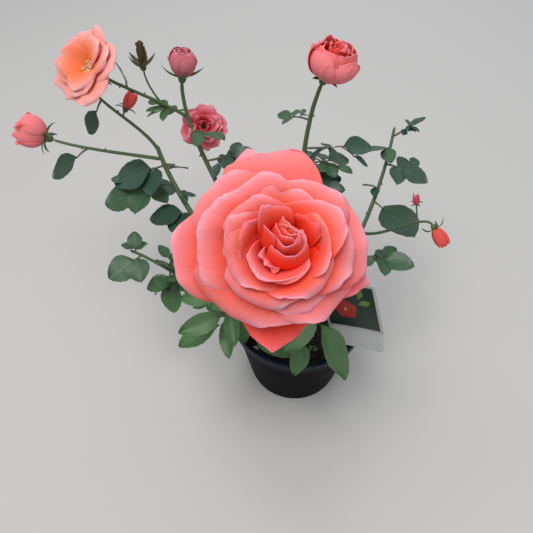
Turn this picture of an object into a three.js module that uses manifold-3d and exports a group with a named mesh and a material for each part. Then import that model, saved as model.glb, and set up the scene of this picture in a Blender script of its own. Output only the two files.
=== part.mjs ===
// A patio rose in its nursery pot: a short woody stock, canes and side branches that each taper,
// blooms and buds at their tips, and masses of compound leaves along them.
// Millimetres, +Z up. The origin is the centre of the flat underside of the pot.

import * as THREE from "three";
import { mergeVertices } from "three/addons/utils/BufferGeometryUtils.js";
import Module from "manifold-3d";

const wasm = await Module();
wasm.setup();

// The pot and what fills it.
const CLEARANCE = 0.3;
const POT_HEIGHT = 128;
const POT_BASE_RADIUS = 54;
const POT_RIM_RADIUS = 75;
const POT_WALL = 2.2;
const POT_FLOOR = 3;
const LIP_HEIGHT = 14;
const LIP_PROUD = 2.4;
const POT_SIDES = 32;
const SOIL_LEVEL = 113;
const SOIL_ROUGHNESS = 1.6;
const SOIL_DEPTH_AT_RIM = 2.5;

// The plant label: a card with a folded lower strip and a tongue that is pushed into the soil.
const CARD_CORNER = [30.8, -43.3, 123.3];
const CARD_WIDTH = 60;
const CARD_PICTURE_HEIGHT = 60;
const CARD_STRIP_HEIGHT = 18.7;
const CARD_THICKNESS = 0.8;
const CARD_ALONG = [0.829, -0.412, 0.378];
const CARD_UP = [-0.266, 0.301, 0.915];
const CARD_FOLD = 28.4;
const STRIP_TAPER = 14;
const TONGUE_WIDTH = 9;
const TONGUE_BOTTOM = 84;

// The stock, from the soil to its knuckle.
const STOCK_FOOT_RADIUS = 13;
const STOCK_WAIST_RADIUS = 8;
const STOCK_KNUCKLE_RADIUS = 10.5;
const STOCK_TOP = 135;
const STOCK_SUNK = 9;

// Limbs.
const CANE_SIDES = 5;
const CANE_STEPS = 9;
const BRANCH_STEPS = 6;

// Petals and leaves.
const PETAL_THICKNESS = 0.9;
const SMALL_PETAL_THICKNESS = 0.8;
const LEAF_THICKNESS = 1.1;
const LEAFLET_ROOT = 1.6;
const RACHIS_RADIUS = 0.8;
const SHOOT_RADIUS = 1.3;
const GOLDEN_ANGLE = 137.508;
const CROWDING = 0.06;

const FINISH = {
  pot: { color: 0x15171c, roughness: 0.42 },
  soil: { color: 0x2a211c, roughness: 0.95 },
  card: { color: 0xd9d8d2, roughness: 0.45 },
  wood: { color: 0x5d5a3c, roughness: 0.75 },
  cane: { color: 0x4f6a3b, roughness: 0.55 },
  leaf: { color: 0x3f6a47, roughness: 0.5 },
  coral: { color: 0xf2675c, roughness: 0.5 },
  pink: { color: 0xe8707a, roughness: 0.5 },
  orange: { color: 0xf47a4e, roughness: 0.5 },
  green: { color: 0x64793f, roughness: 0.55 },
};

// A generator of even numbers between 0 and 1 that gives the same row for the same seed.
class Seeded {
  constructor(seed) {
    this.state = seed * 7919 + 17;
    this.next();
  }
  next() {
    this.state = (this.state * 16807) % 2147483647;
    return this.state / 2147483647;
  }
  spread(size) {
    return (this.next() * 2 - 1) * size;
  }
}

const vec = (p) => new THREE.Vector3(...p);
const radians = (degrees) => (degrees * Math.PI) / 180;
const mix = (a, b, share) => a + (b - a) * share;

// A closed geometry as a solid that can be joined and cut.
function solidOf(geometry) {
  geometry.deleteAttribute("normal");
  geometry.deleteAttribute("uv");
  const merged = mergeVertices(geometry, 1e-3);
  return new wasm.Manifold(
    new wasm.Mesh({
      numProp: 3,
      vertProperties: new Float32Array(merged.attributes.position.array),
      triVerts: new Uint32Array(merged.index.array),
    }),
  );
}

// A solid as a geometry again.
function geometryOf(solid) {
  const mesh = solid.getMesh();
  const geometry = new THREE.BufferGeometry();
  const position = new Float32Array(mesh.numVert * 3);
  for (let i = 0; i < mesh.numVert; i++) {
    for (let k = 0; k < 3; k++) position[i * 3 + k] = mesh.vertProperties[i * mesh.numProp + k];
  }
  geometry.setAttribute("position", new THREE.BufferAttribute(position, 3));
  geometry.setIndex(new THREE.BufferAttribute(new Uint32Array(mesh.triVerts), 1));
  geometry.computeVertexNormals();
  return geometry;
}

// The largest body of what the pieces make together, with its sealed hollows filled.
function fuse(solids) {
  const joined = wasm.Manifold.union(solids);
  const bodies = joined.decompose().sort((a, b) => b.volume() - a.volume());
  return bodies[0];
}

// Moves every vertex of a geometry by a rule, which gets its place and returns the new one.
function shaped(geometry, rule) {
  const place = geometry.getAttribute("position");
  for (let i = 0; i < place.count; i++) {
    const p = rule(place.getX(i), place.getY(i), place.getZ(i));
    place.setXYZ(i, p.x, p.y, p.z);
  }
  return geometry;
}

// The frame of a curve at a share of its length: its place and two directions across it.
function frameAt(curve, share) {
  const along = curve.getTangent(share);
  const side = new THREE.Vector3(0, 0, 1).cross(along);
  if (side.length() < 0.05) side.set(1, 0, 0).addScaledVector(along, -along.x);
  side.normalize();
  return { place: curve.getPoint(share), along, side, up: along.clone().cross(side) };
}

// A round bar with closed ends, bent along a curve, with its radius given by a rule.
function bar(curve, radiusAt, sides, steps) {
  const straight = new THREE.CylinderGeometry(1, 1, 1, sides, steps);
  return shaped(straight, (x, y, z) => {
    const share = y + 0.5;
    const { place, side, up } = frameAt(curve, share);
    const radius = radiusAt(share);
    return place.addScaledVector(side, z * radius).addScaledVector(up, x * radius);
  });
}

// The pot: a tapering wall with a banded lip, turned about its axis.
function innerRadius(z) {
  return mix(POT_BASE_RADIUS, POT_RIM_RADIUS - LIP_PROUD, z / POT_HEIGHT) - POT_WALL;
}

function potSolid() {
  const outer = (z) => innerRadius(z) + POT_WALL;
  const lipFoot = POT_HEIGHT - LIP_HEIGHT;
  const profile = [
    [0, 0],
    [POT_BASE_RADIUS - 1, 0],
    [POT_BASE_RADIUS, 2],
    [outer(lipFoot - 1.5), lipFoot - 1.5],
    [POT_RIM_RADIUS - 1.2, lipFoot],
    [POT_RIM_RADIUS, POT_HEIGHT - 2],
    [POT_RIM_RADIUS - 0.9, POT_HEIGHT],
    [POT_RIM_RADIUS - 3.2, POT_HEIGHT],
    [innerRadius(POT_HEIGHT - 3), POT_HEIGHT - 3],
    [innerRadius(POT_FLOOR), POT_FLOOR],
    [0, POT_FLOOR],
  ];
  const outline = profile.map(([r, z]) => new THREE.Vector2(r, z));
  return turnedSolid(outline, POT_SIDES);
}

// The soil: it fills the pot to a low, uneven mound.
function soilSolid() {
  const wall = (z) => innerRadius(z) - CLEARANCE;
  const edge = SOIL_LEVEL - SOIL_DEPTH_AT_RIM;
  const profile = [
    [0, POT_FLOOR + CLEARANCE],
    [wall(POT_FLOOR) - 1, POT_FLOOR + CLEARANCE],
    [wall(edge), edge],
    [wall(edge) * 0.78, SOIL_LEVEL - 1],
    [wall(edge) * 0.52, SOIL_LEVEL],
    [0, SOIL_LEVEL + 1],
  ];
  const outline = profile.map(([r, z]) => new THREE.Vector2(r, z));
  const turned = new THREE.LatheGeometry(outline, POT_SIDES).rotateX(Math.PI / 2);
  const wave = (x, y) => Math.sin(x * 0.21 + 1.3) * Math.cos(y * 0.17) + 0.6 * Math.sin(x * 0.09 - y * 0.31);
  return solidOf(
    shaped(turned, (x, y, z) => {
      const inside = Math.hypot(x, y) < wall(edge) * 0.9 && z > edge;
      return new THREE.Vector3(x, y, inside ? z + SOIL_ROUGHNESS * wave(x, y) : z);
    }),
  );
}

// The label: its picture panel, the strip folded forward below it, and its tongue.
function labelSolids(grow) {
  const along = vec(CARD_ALONG).normalize();
  const up = vec(CARD_UP).normalize();
  const face = along.clone().cross(up).normalize();
  const down = up.clone().multiplyScalar(-Math.cos(radians(CARD_FOLD)));
  down.addScaledVector(face, Math.sin(radians(CARD_FOLD)));
  const fold = vec(CARD_CORNER).addScaledVector(down, -CARD_STRIP_HEIGHT);
  const depth = CARD_THICKNESS + 2 * grow;
  const panel = (rise, height, leftAt) => {
    const normal = along.clone().cross(rise).normalize();
    return solidOf(
      shaped(new THREE.BoxGeometry(1, 1, 1), (x, y, z) => {
        const left = leftAt(y);
        return fold
          .clone()
          .addScaledVector(along, mix(left, CARD_WIDTH, x + 0.5))
          .addScaledVector(rise, height(y))
          .addScaledVector(normal, z * depth);
      }),
    );
  };
  const lap = CARD_THICKNESS / 2;
  const picture = panel(up, (y) => (y < 0 ? -lap : CARD_PICTURE_HEIGHT), () => 0);
  const strip = panel(
    down.clone().negate(),
    (y) => (y < 0 ? -CARD_STRIP_HEIGHT : lap),
    (y) => (y < 0 ? STRIP_TAPER : 0),
  );
  const level = new THREE.Vector3(along.x, along.y, 0).normalize();
  const across = new THREE.Vector3(level.y, -level.x, 0);
  const tongue = solidOf(
    shaped(new THREE.BoxGeometry(1, 1, 1), (x, y, z) => {
      const width = (y < 0 ? TONGUE_WIDTH * 0.5 : TONGUE_WIDTH) + 2 * grow;
      const place = fold.clone().addScaledVector(level, TONGUE_WIDTH / 2 + 0.5 + x * width);
      place.setZ(y < 0 ? TONGUE_BOTTOM - grow : fold.z + (x + 0.5) * TONGUE_WIDTH * 0.4 + 0.4);
      return place.addScaledVector(across, z * depth);
    }),
  );
  return { card: fuse([strip, picture, tongue]), tongue };
}

// The stock: root flare at the soil, a waist and the knuckle that the canes leave from.
function stockSolid(grow) {
  const foot = SOIL_LEVEL - STOCK_SUNK;
  const height = STOCK_TOP - foot;
  const profile = [
    [0, foot - grow],
    [STOCK_FOOT_RADIUS * 0.8 + grow, foot - grow],
    [STOCK_FOOT_RADIUS + grow, foot + height * 0.22],
    [STOCK_WAIST_RADIUS + grow, foot + height * 0.52],
    [STOCK_KNUCKLE_RADIUS + grow, foot + height * 0.78],
    [STOCK_KNUCKLE_RADIUS * 0.72 + grow, foot + height * 0.96],
    [0, STOCK_TOP + grow],
  ];
  const outline = profile.map(([r, z]) => new THREE.Vector2(r, z));
  const turned = new THREE.LatheGeometry(outline, 12).rotateX(Math.PI / 2);
  return solidOf(
    shaped(turned, (x, y, z) => {
      const bulge = 1 + 0.1 * Math.sin(3 * Math.atan2(y, x) + z * 0.1);
      return new THREE.Vector3(x * bulge, y * bulge, z);
    }),
  );
}

// Petals: the line up the middle of a petal is one curve from the receptacle to the rim, whose handles
// are shares of the petal's reach from the axis and of the rise of its rim.
const TIER = {
  guard: { low: [0.22, 1.3], high: [0.75, 1.9], wrap: 0.55, grid: [4, 2], sunk: 0.34 },
  outer: { low: [0.2, 0.8], high: [0.72, 1.35], wrap: 0.75, grid: [3, 2], sunk: 0.5 },
  middle: { low: [0.25, 0.6], high: [0.75, 1.2], wrap: 0.9, grid: [3, 2], sunk: 0.6 },
  inner: { low: [0.5, 0.45], high: [0.8, 1.12], wrap: 1, grid: [2, 2], sunk: 0.5 },
  core: { low: [1, 0.4], high: [1.1, 1.05], wrap: 1, grid: [2, 1], sunk: 0.6 },
  globe: { low: [2.3, 0.15], high: [2.7, 0.85], wrap: 1, grid: [2, 2], sunk: 0.4 },
};

const FULL_WIDTH_SHARE = 0.62;
const CLAW_WIDTH_SHARE = 0.14;
const RIM_WIDTH_SHARE = 0.66;

function widthShare(v) {
  if (v < FULL_WIDTH_SHARE) {
    return CLAW_WIDTH_SHARE + (1 - CLAW_WIDTH_SHARE) * Math.sin((Math.PI / 2) * (v / FULL_WIDTH_SHARE));
  }
  return 1 - (1 - RIM_WIDTH_SHARE) * ((v - FULL_WIDTH_SHARE) / (1 - FULL_WIDTH_SHARE)) ** 2;
}

// A petal as a thin closed shell in its bloom's own frame, whose axis is Z.
function petalSolid(petal, bloom) {
  const tier = TIER[petal.tier];
  const { reach, rise, half } = petal;
  const [across, along] = bloom.grid ?? tier.grid;
  const middle = new THREE.CubicBezierCurve(
    new THREE.Vector2(bloom.seat, 0),
    new THREE.Vector2(tier.low[0] * reach, tier.low[1] * rise),
    new THREE.Vector2(tier.high[0] * reach, tier.high[1] * rise),
    new THREE.Vector2(reach, rise),
  );
  const roll = petal.roll ?? 4;
  const notch = petal.notch ?? 0;
  const point = petal.point ?? 0;
  const ruffle = petal.ruffle ?? 1;
  const twist = petal.twist ?? 2.5;
  const turn = radians(petal.turn);
  const thickness = bloom.thickness;
  const sheet = new THREE.BoxGeometry(2, 1, 1, across, along, 1);
  return solidOf(
    shaped(sheet, (u, y, z) => {
      const v = mix(petal.sunk ?? bloom.sunk ?? tier.sunk, 1, y + 0.5);
      const rounding = 0.15 * Math.abs(u) ** 3 * v;
      const dip = notch * Math.exp(-((u / 0.3) ** 2)) * v ** 3;
      const share = Math.min(1, v * (1 - rounding) - dip);
      const centre = middle.getPoint(share);
      const rising = middle.getTangent(share);
      const lateral = u * half * widthShare(v);
      const radius = Math.max(centre.x, 1) / tier.wrap;
      let out = centre.x - radius * (1 - Math.cos(lateral / radius));
      const aside = -radius * Math.sin(lateral / radius);
      const edge = Math.max(0, (Math.abs(u) - 0.5) / 0.5);
      const wave = ruffle * Math.sin(u * 4.2 + petal.turn) * v ** 3;
      const lift = twist * u * v - roll * edge * edge * v + wave;
      const side = lift + z * thickness;
      out += -rising.y * side + rising.x * point * (1 - Math.abs(u)) * v ** 4;
      const height = centre.y + rising.x * side + rising.y * point * (1 - Math.abs(u)) * v ** 4;
      return new THREE.Vector3(
        out * Math.cos(turn) - aside * Math.sin(turn),
        out * Math.sin(turn) + aside * Math.cos(turn),
        height,
      );
    }),
  );
}

// The rings of a small bloom, each petal turned on from the one before by the golden angle.
function ringPetals(rings, seed) {
  const chance = new Seeded(seed);
  const petals = [];
  for (const ring of rings) {
    for (let k = 0; k < ring.count; k++) {
      petals.push({
        ...ring,
        turn: (ring.from ?? 0) + (360 / ring.count) * k + chance.spread(9),
        reach: ring.reach * (1 + chance.spread(0.07)),
        rise: ring.rise * (1 + chance.spread(0.05)),
      });
    }
  }
  return petals;
}

// A profile of radius and height turned about Z.
function turnedSolid(outline, sides) {
  return solidOf(new THREE.LatheGeometry(outline, sides).rotateX(Math.PI / 2));
}

// The heart of a bloom, where the feet of its petals lie so close that they are one mass.
function heartSolid(bloom) {
  const { heart, heartHeight } = bloom;
  const outline = [
    [0, -1],
    [bloom.seat, 0],
    [heart * bloom.heartWaist, heartHeight * 0.22],
    [heart, heartHeight * 0.5],
    [heart * 0.72, heartHeight * 0.88],
    [0, heartHeight],
  ].map(([r, z]) => new THREE.Vector2(r, z));
  return turnedSolid(outline, bloom.heartSides);
}

// The calyx: a hip that the limb meets, and five narrow sepals.
function calyxSolids(bloom) {
  const { hip, hipLength, sepal, sepalDrop } = bloom;
  const outline = [
    [0, -hipLength],
    [bloom.stem, -hipLength],
    [hip, -hipLength * 0.4],
    [hip * 0.8, 0.6],
    [0, 0.6],
  ].map(([r, z]) => new THREE.Vector2(r, z));
  const parts = [turnedSolid(outline, 5)];
  for (let k = 0; k < 5; k++) {
    const turn = radians(72 * k + bloom.sepalTurn);
    const away = new THREE.Vector3(Math.cos(turn), Math.sin(turn), 0);
    const curve = new THREE.QuadraticBezierCurve3(
      away.clone().multiplyScalar(hip * 0.5).setZ(-1),
      away.clone().multiplyScalar(hip + sepal * 0.45).setZ(1.5),
      away.clone().multiplyScalar(hip + sepal * 0.8).setZ(-sepal * sepalDrop),
    );
    const blade = new THREE.CylinderGeometry(1, 1, 1, 3, bloom.sepalSteps);
    const across = new THREE.Vector3(-away.y, away.x, 0);
    parts.push(
      solidOf(
        shaped(blade, (x, y, z) => {
          const share = y + 0.5;
          const place = curve.getPoint(share);
          const normal = across.clone().cross(curve.getTangent(share)).normalize();
          const width = 0.35 + 0.5 * (1 - share) + sepal * 0.1 * Math.sin(Math.PI * share);
          return place.addScaledVector(across, x * width).addScaledVector(normal, z * 0.5);
        }),
      ),
    );
  }
  return parts;
}

// A bloom: where its receptacle is, the way it faces, and its petals.
const SMALL = {
  seat: 2.2,
  thickness: SMALL_PETAL_THICKNESS,
  grid: [2, 2],
  heartSides: 7,
  heartWaist: 0.75,
  sepalSteps: 2,
  sunk: 0.3,
};
const TINY = { ...SMALL, sepalSteps: 1 };

const BLOOMS = {
  large_bloom: {
    place: [-27, -129.2, 379.2],
    faces: [0, -0.6, 0.8],
    finish: "coral",
    seat: 4,
    thickness: PETAL_THICKNESS,
    heart: 21,
    heartHeight: 27,
    heartSides: 9,
    heartWaist: 0.86,
    sepalSteps: 3,
    hip: 6.2,
    hipLength: 12,
    stem: 2.6,
    sepal: 30,
    sepalDrop: 0.45,
    sepalTurn: 20,
    petals: [
      { tier: "guard", turn: 95, reach: 54, rise: 10, half: 31, notch: 0.07, roll: 7 },
      { tier: "guard", turn: 182, reach: 57, rise: 8, half: 27, roll: 6 },
      { tier: "guard", turn: 232, reach: 46, rise: 13, half: 33, roll: 4 },
      { tier: "guard", turn: 266, reach: 50, rise: 3, half: 21, roll: 9, point: 9, sunk: 0.1 },
      { tier: "guard", turn: 310, reach: 44, rise: 11, half: 29, roll: 5 },
      { tier: "guard", turn: 340, reach: 48, rise: 7, half: 22, roll: 8, point: 5 },
      { tier: "guard", turn: 13, reach: 47, rise: 12, half: 28, roll: 5 },
      { tier: "guard", turn: 57, reach: 44, rise: 13, half: 22, roll: 4 },
      { tier: "guard", turn: 141, reach: 52, rise: 12, half: 26, roll: 6 },
      { tier: "outer", turn: 99, reach: 40, rise: 21, half: 24, notch: 0.06 },
      { tier: "outer", turn: 171, reach: 43, rise: 19, half: 27 },
      { tier: "outer", turn: 252, reach: 30, rise: 23, half: 25 },
      { tier: "outer", turn: 310, reach: 34, rise: 20, half: 26 },
      { tier: "outer", turn: 2, reach: 39, rise: 21, half: 25 },
      { tier: "outer", turn: 52, reach: 36, rise: 24, half: 22, point: 3 },
      { tier: "middle", turn: 128, reach: 31, rise: 28, half: 20 },
      { tier: "middle", turn: 200, reach: 26, rise: 29, half: 19 },
      { tier: "middle", turn: 10, reach: 28, rise: 28, half: 19 },
      { tier: "inner", turn: 70, reach: 20, rise: 32, half: 14 },
      { tier: "inner", turn: 262, reach: 17, rise: 32, half: 17 },
      { tier: "core", turn: 205, reach: 9, rise: 32, half: 11, roll: 2, sunk: 0.2 },
    ],
  },
  half_open_bloom: {
    ...SMALL,
    heart: 13,
    heartHeight: 25,
    place: [20.8, 128, 320.3],
    faces: [0.31, 0, 0.951],
    finish: "coral",
    hip: 4.6,
    hipLength: 9,
    stem: 1.9,
    sepal: 22,
    sepalDrop: 0.3,
    sepalTurn: 10,
    petals: ringPetals(
      [
        { tier: "inner", count: 5, reach: 25, rise: 27, half: 19, roll: 3 },
        { tier: "inner", count: 2, reach: 15, rise: 31, half: 15, from: 40, roll: 2 },
      ],
      3,
    ),
  },
  open_bloom: {
    ...SMALL,
    heart: 11,
    heartHeight: 12,
    place: [-195.1, 131.6, 323.8],
    faces: [-0.44, -0.45, 0.775],
    finish: "orange",
    hip: 4.6,
    hipLength: 9,
    stem: 1.6,
    sepal: 20,
    sepalDrop: 0.5,
    sepalTurn: 30,
    petals: ringPetals(
      [
        { tier: "outer", count: 5, reach: 38, rise: 12, half: 22, roll: 4, ruffle: 2 },
        { tier: "outer", count: 3, reach: 27, rise: 19, half: 17, from: 36, roll: 3, ruffle: 2 },
      ],
      5,
    ),
  },
  faded_bloom: {
    ...SMALL,
    heart: 9,
    heartHeight: 11,
    place: [-103, 160, 238],
    faces: [0.1, -0.77, 0.63],
    finish: "pink",
    hip: 4,
    hipLength: 7,
    stem: 1.4,
    sepal: 16,
    sepalDrop: 0.4,
    sepalTurn: 0,
    host: "back_left_cane",
    share: 0.66,
    petals: ringPetals(
      [
        { tier: "outer", count: 5, reach: 25, rise: 9, half: 15, roll: 3, ruffle: 2.4 },
        { tier: "middle", count: 2, reach: 16, rise: 15, half: 12, from: 30, ruffle: 2 },
      ],
      8,
    ),
  },
  left_bud: {
    ...SMALL,
    heart: 13.8,
    heartHeight: 25,
    place: [-260.2, 120.1, 255.9],
    faces: [-0.93, 0.12, 0.347],
    finish: "coral",
    hip: 4.4,
    hipLength: 8,
    stem: 1.4,
    sepal: 19,
    sepalDrop: 0.3,
    sepalTurn: 25,
    petals: ringPetals(
      [
        { tier: "inner", count: 4, reach: 17.5, rise: 26, half: 18, roll: 2 },
      ],
      11,
    ),
  },
  pink_bud: {
    ...SMALL,
    heart: 15,
    heartHeight: 27,
    place: [-119.4, 164.2, 297.5],
    faces: [0.15, 0.15, 0.977],
    finish: "pink",
    hip: 4.4,
    hipLength: 8,
    stem: 1.8,
    sepal: 24,
    sepalDrop: -0.6,
    sepalTurn: 0,
    petals: ringPetals(
      [
        { tier: "globe", count: 3, reach: 6.2, rise: 28, half: 19, roll: 1.5 },
      ],
      13,
    ),
  },
  red_bud: {
    ...TINY,
    heart: 7,
    heartHeight: 18,
    place: [-176, 137, 279],
    faces: [0.5, 0.35, 0.792],
    finish: "coral",
    hip: 3,
    hipLength: 5,
    stem: 1,
    sepal: 11,
    sepalDrop: 0.1,
    sepalTurn: 0,
    host: "lower_bloom_branch",
    share: 0.6,
    petals: [],
  },
  green_bud: {
    ...TINY,
    heart: 6.5,
    heartHeight: 24,
    place: [-156, 160, 312],
    faces: [0, 0.17, 0.985],
    finish: "green",
    hip: 3.4,
    hipLength: 6,
    stem: 1,
    sepal: 12,
    sepalDrop: -0.7,
    sepalTurn: 15,
    host: "open_bloom_branch",
    share: 0.36,
    petals: [],
  },
  right_bud: {
    ...TINY,
    heart: 8.5,
    heartHeight: 20,
    place: [131.6, 31, 215.7],
    faces: [0.476, -0.75, -0.459],
    finish: "pink",
    hip: 3,
    hipLength: 5.5,
    stem: 1.2,
    sepal: 13,
    sepalDrop: 0.5,
    sepalTurn: 20,
    petals: [],
  },
  small_right_bud: {
    ...TINY,
    heart: 3.6,
    heartHeight: 9,
    place: [114, 52, 230],
    faces: [-0.2, 0.1, 0.975],
    finish: "pink",
    hip: 1.8,
    hipLength: 3.5,
    stem: 0.8,
    sepal: 6,
    sepalDrop: 0,
    sepalTurn: 0,
    host: "right_bud_branch",
    share: 0.72,
    petals: [],
  },
};

// The limbs: the foot, two handles and the tip of one curve each, and the radii at foot and tip.
// A limb with a host leaves it at a share of its length, and one with a bloom meets that bloom's hip.
const LIMBS = {
  front_cane: {
    foot: [-2, -5, 121],
    lean: [-3, -12, 215],
    bloom: "large_bloom",
    approach: 75,
    radii: [4.4, 2.6],
  },
  back_cane: {
    foot: [2, 6, 122],
    lean: [2, 108, 150],
    bloom: "half_open_bloom",
    approach: 58,
    radii: [4, 1.9],
  },
  left_cane: {
    foot: [-7, 1, 121],
    lean: [-75, 22, 132],
    bow: [-140, 106, 200],
    tip: [-150, 127, 240],
    radii: [4, 2.3],
  },
  back_left_cane: {
    foot: [-5, 6, 124],
    lean: [-64, 82, 152],
    bloom: "pink_bud",
    approach: 50,
    radii: [3.9, 1.8],
  },
  right_cane: {
    foot: [8, 1, 119],
    lean: [60, 36, 132],
    bow: [98, 120, 190],
    tip: [109, 168, 232],
    radii: [3.6, 1.5],
  },
  low_left_shoot: {
    foot: [-5, -6, 120],
    lean: [-72, -18, 132],
    bow: [-140, 32, 158],
    tip: [-177, 34, 178],
    radii: [3, 1.4],
  },
  lower_bloom_branch: {
    host: "left_cane",
    share: 0.96,
    lean: [-160, 133, 256],
    bow: [-187, 128, 280],
    tip: [-198, 130, 298],
    radii: [2, 1.3],
  },
  left_bud_branch: {
    host: "left_cane",
    share: 0.9,
    lean: [-175, 114, 239],
    bloom: "left_bud",
    approach: 28,
    radii: [2, 1.4],
  },
  open_bloom_branch: {
    host: "back_left_cane",
    share: 0.8,
    lean: [-132, 152, 272],
    bloom: "open_bloom",
    approach: 30,
    radii: [1.9, 1.5],
  },
  right_bud_branch: {
    host: "right_cane",
    share: 0.47,
    lean: [88, 52, 172],
    bloom: "right_bud",
    approach: 14,
    radii: [1.8, 1.1],
  },
};

const limbCurve = {
  stem_base: new THREE.LineCurve3(new THREE.Vector3(0, 0, SOIL_LEVEL), new THREE.Vector3(0, 0, STOCK_TOP)),
};
for (const [name, limb] of Object.entries(LIMBS)) {
  const foot = limb.host ? limbCurve[limb.host].getPoint(limb.share) : vec(limb.foot);
  let bow;
  let tip;
  if (limb.bloom) {
    const bloom = BLOOMS[limb.bloom];
    const face = vec(bloom.faces).normalize();
    tip = vec(bloom.place).addScaledVector(face, -bloom.hipLength - CLEARANCE);
    bow = tip.clone().addScaledVector(face, -limb.approach);
  } else {
    bow = vec(limb.bow);
    tip = vec(limb.tip);
  }
  limbCurve[name] = new THREE.CubicBezierCurve3(foot, vec(limb.lean), bow, tip);
}

function limbSolid(name, grow) {
  if (name === "stem_base") return stockSolid(grow);
  const [thick, thin] = LIMBS[name].radii;
  const steps = LIMBS[name].host ? BRANCH_STEPS : CANE_STEPS;
  const radiusAt = (share) => mix(thick, thin, share ** 0.8) + grow;
  return solidOf(bar(limbCurve[name], radiusAt, CANE_SIDES, steps));
}

// A bloom's solid: calyx and petals in the bloom's frame, and a footstalk where it has a host.
function bloomSolid(bloom) {
  const parts = [...calyxSolids(bloom), heartSolid(bloom)];
  for (const petal of bloom.petals) parts.push(petalSolid(petal, bloom));
  const face = vec(bloom.faces).normalize();
  const right = new THREE.Vector3(1, 0, 0).addScaledVector(face, -face.x).normalize();
  const basis = new THREE.Matrix4().makeBasis(right, face.clone().cross(right), face);
  basis.setPosition(vec(bloom.place));
  const placed = fuse(parts).transform(basis.toArray());
  if (!bloom.host) return placed;
  const foot = limbCurve[bloom.host].getPoint(bloom.share);
  const top = vec(bloom.place).addScaledVector(face, -bloom.hipLength * 0.8);
  const knee = top.clone().addScaledVector(face, -foot.distanceTo(top) * 0.4);
  const stalk = bar(new THREE.QuadraticBezierCurve3(foot, knee, top), () => bloom.stem, 5, 4);
  return fuse([fuse([placed, solidOf(stalk)]).subtract(limbSolid(bloom.host, CLEARANCE))]);
}

// The foliage masses: the limb that carries each and where its shoot leaves it, the tip that it grows to,
// the number of compound leaves, the leaflets of each, and their length and breadth.
const mass = (host, share, tip, leaves, leaflets, length, breadth = 0.64) => ({
  host,
  share,
  tip,
  leaves,
  leaflets,
  length,
  breadth,
});

const MASSES = {
  left_bud_leaves: mass("left_bud_branch", 0.66, [-258, 100, 219], 1, 3, 32, 0.8),
  hanging_leaf: mass("lower_bloom_branch", 0.93, [-215, 119, 262], 1, 1, 25),
  pale_leaf: mass("open_bloom_branch", 0.7, [-177, 153, 319], 1, 1, 22),
  upper_left_leaves: mass("left_cane", 0.86, [-196, 106, 205], 1, 5, 40, 0.8),
  mid_left_leaves: mass("left_cane", 0.84, [-120, 132, 206], 1, 3, 27, 0.7),
  olive_leaf: mass("open_bloom_branch", 0.2, [-160, 147, 272], 1, 3, 18),
  upper_stem_leaves: mass("back_left_cane", 0.84, [-146, 166, 252], 1, 3, 20),
  faded_bloom_leaves: mass("back_left_cane", 0.6, [-46, 124, 234], 3, 5, 26),
  inner_left_leaves: mass("left_cane", 0.6, [-162, 74, 190], 1, 3, 36, 0.85),
  outer_left_leaves: mass("left_cane", 0.76, [-212, 90, 188], 1, 3, 37, 0.8),
  lower_left_leaves: mass("left_cane", 0.5, [-142, 76, 182], 2, 5, 28, 0.75),
  low_left_upper_leaf: mass("low_left_shoot", 0.95, [-172, 48, 192], 1, 3, 33, 0.8),
  low_left_lower_leaf: mass("low_left_shoot", 0.9, [-198, 8, 163], 1, 3, 32, 0.8),
  low_left_hanging_leaf: mass("low_left_shoot", 0.7, [-134, -14, 130], 1, 5, 32),
  front_left_leaves: mass("front_cane", 0.26, [-121, -56, 134], 1, 5, 46, 0.42),
  front_right_leaf: mass("front_cane", 0.3, [44, -95, 146], 1, 3, 56, 0.5),
  right_low_leaves: mass("right_cane", 0.36, [120, 24, 168], 2, 5, 34),
  right_round_leaf: mass("right_cane", 0.62, [124, 56, 176], 1, 1, 46, 0.95),
  right_mid_leaves: mass("right_cane", 0.68, [73, 112, 198], 1, 5, 27, 0.7),
  right_upper_leaves: mass("right_cane", 0.8, [142, 112, 206], 1, 5, 29, 0.7),
  right_top_leaves: mass("right_cane", 0.94, [140, 170, 242], 2, 5, 24),
  back_right_leaves: mass("back_cane", 0.66, [76, 128, 238], 2, 5, 28),
  back_mid_leaves: mass("back_cane", 0.48, [46, 116, 208], 1, 5, 30),
  back_small_leaves: mass("back_cane", 0.8, [-24, 146, 264], 1, 3, 17),
  front_cane_left_leaves: mass("front_cane", 0.5, [-95, -42, 222], 2, 5, 32),
  front_cane_right_leaves: mass("front_cane", 0.42, [52, -36, 228], 2, 5, 32),
  front_cane_upper_leaf: mass("front_cane", 0.72, [-76, -108, 286], 1, 5, 28),
  centre_back_leaves: mass("back_cane", 0.26, [38, 76, 200], 2, 5, 30),
  centre_left_leaves: mass("back_left_cane", 0.28, [-34, 62, 206], 2, 5, 28),
  low_back_leaves: mass("back_cane", 0.36, [4, 178, 168], 2, 5, 30),
  low_back_left_leaves: mass("left_cane", 0.4, [-86, 118, 150], 2, 5, 30),
  faded_bloom_front_leaves: mass("back_left_cane", 0.74, [-76, 118, 254], 1, 3, 26, 0.6),
  right_cane_inner_leaves: mass("right_cane", 0.88, [74, 135, 226], 1, 5, 27, 0.7),
  back_right_low_leaves: mass("back_cane", 0.57, [58, 137, 216], 1, 5, 27, 0.7),
  left_inner_leaves: mass("left_cane", 0.7, [-111, 95, 196], 1, 5, 28, 0.7),
  low_left_inner_leaves: mass("low_left_shoot", 0.62, [-145, 19, 184], 1, 3, 27, 0.75),
};

// Whether a solid stays clear of every piece that is already there, leaving out the limb it grows from.
function staysClear(solid, host) {
  const box = solid.boundingBox();
  return placed.every((piece) => {
    const apart = [0, 1, 2].some(
      (k) => box.min[k] > piece.box.max[k] + CLEARANCE || box.max[k] < piece.box.min[k] - CLEARANCE,
    );
    return piece.name === host || apart || solid.minGap(piece.solid, 2 * CLEARANCE) > CLEARANCE;
  });
}

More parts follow.
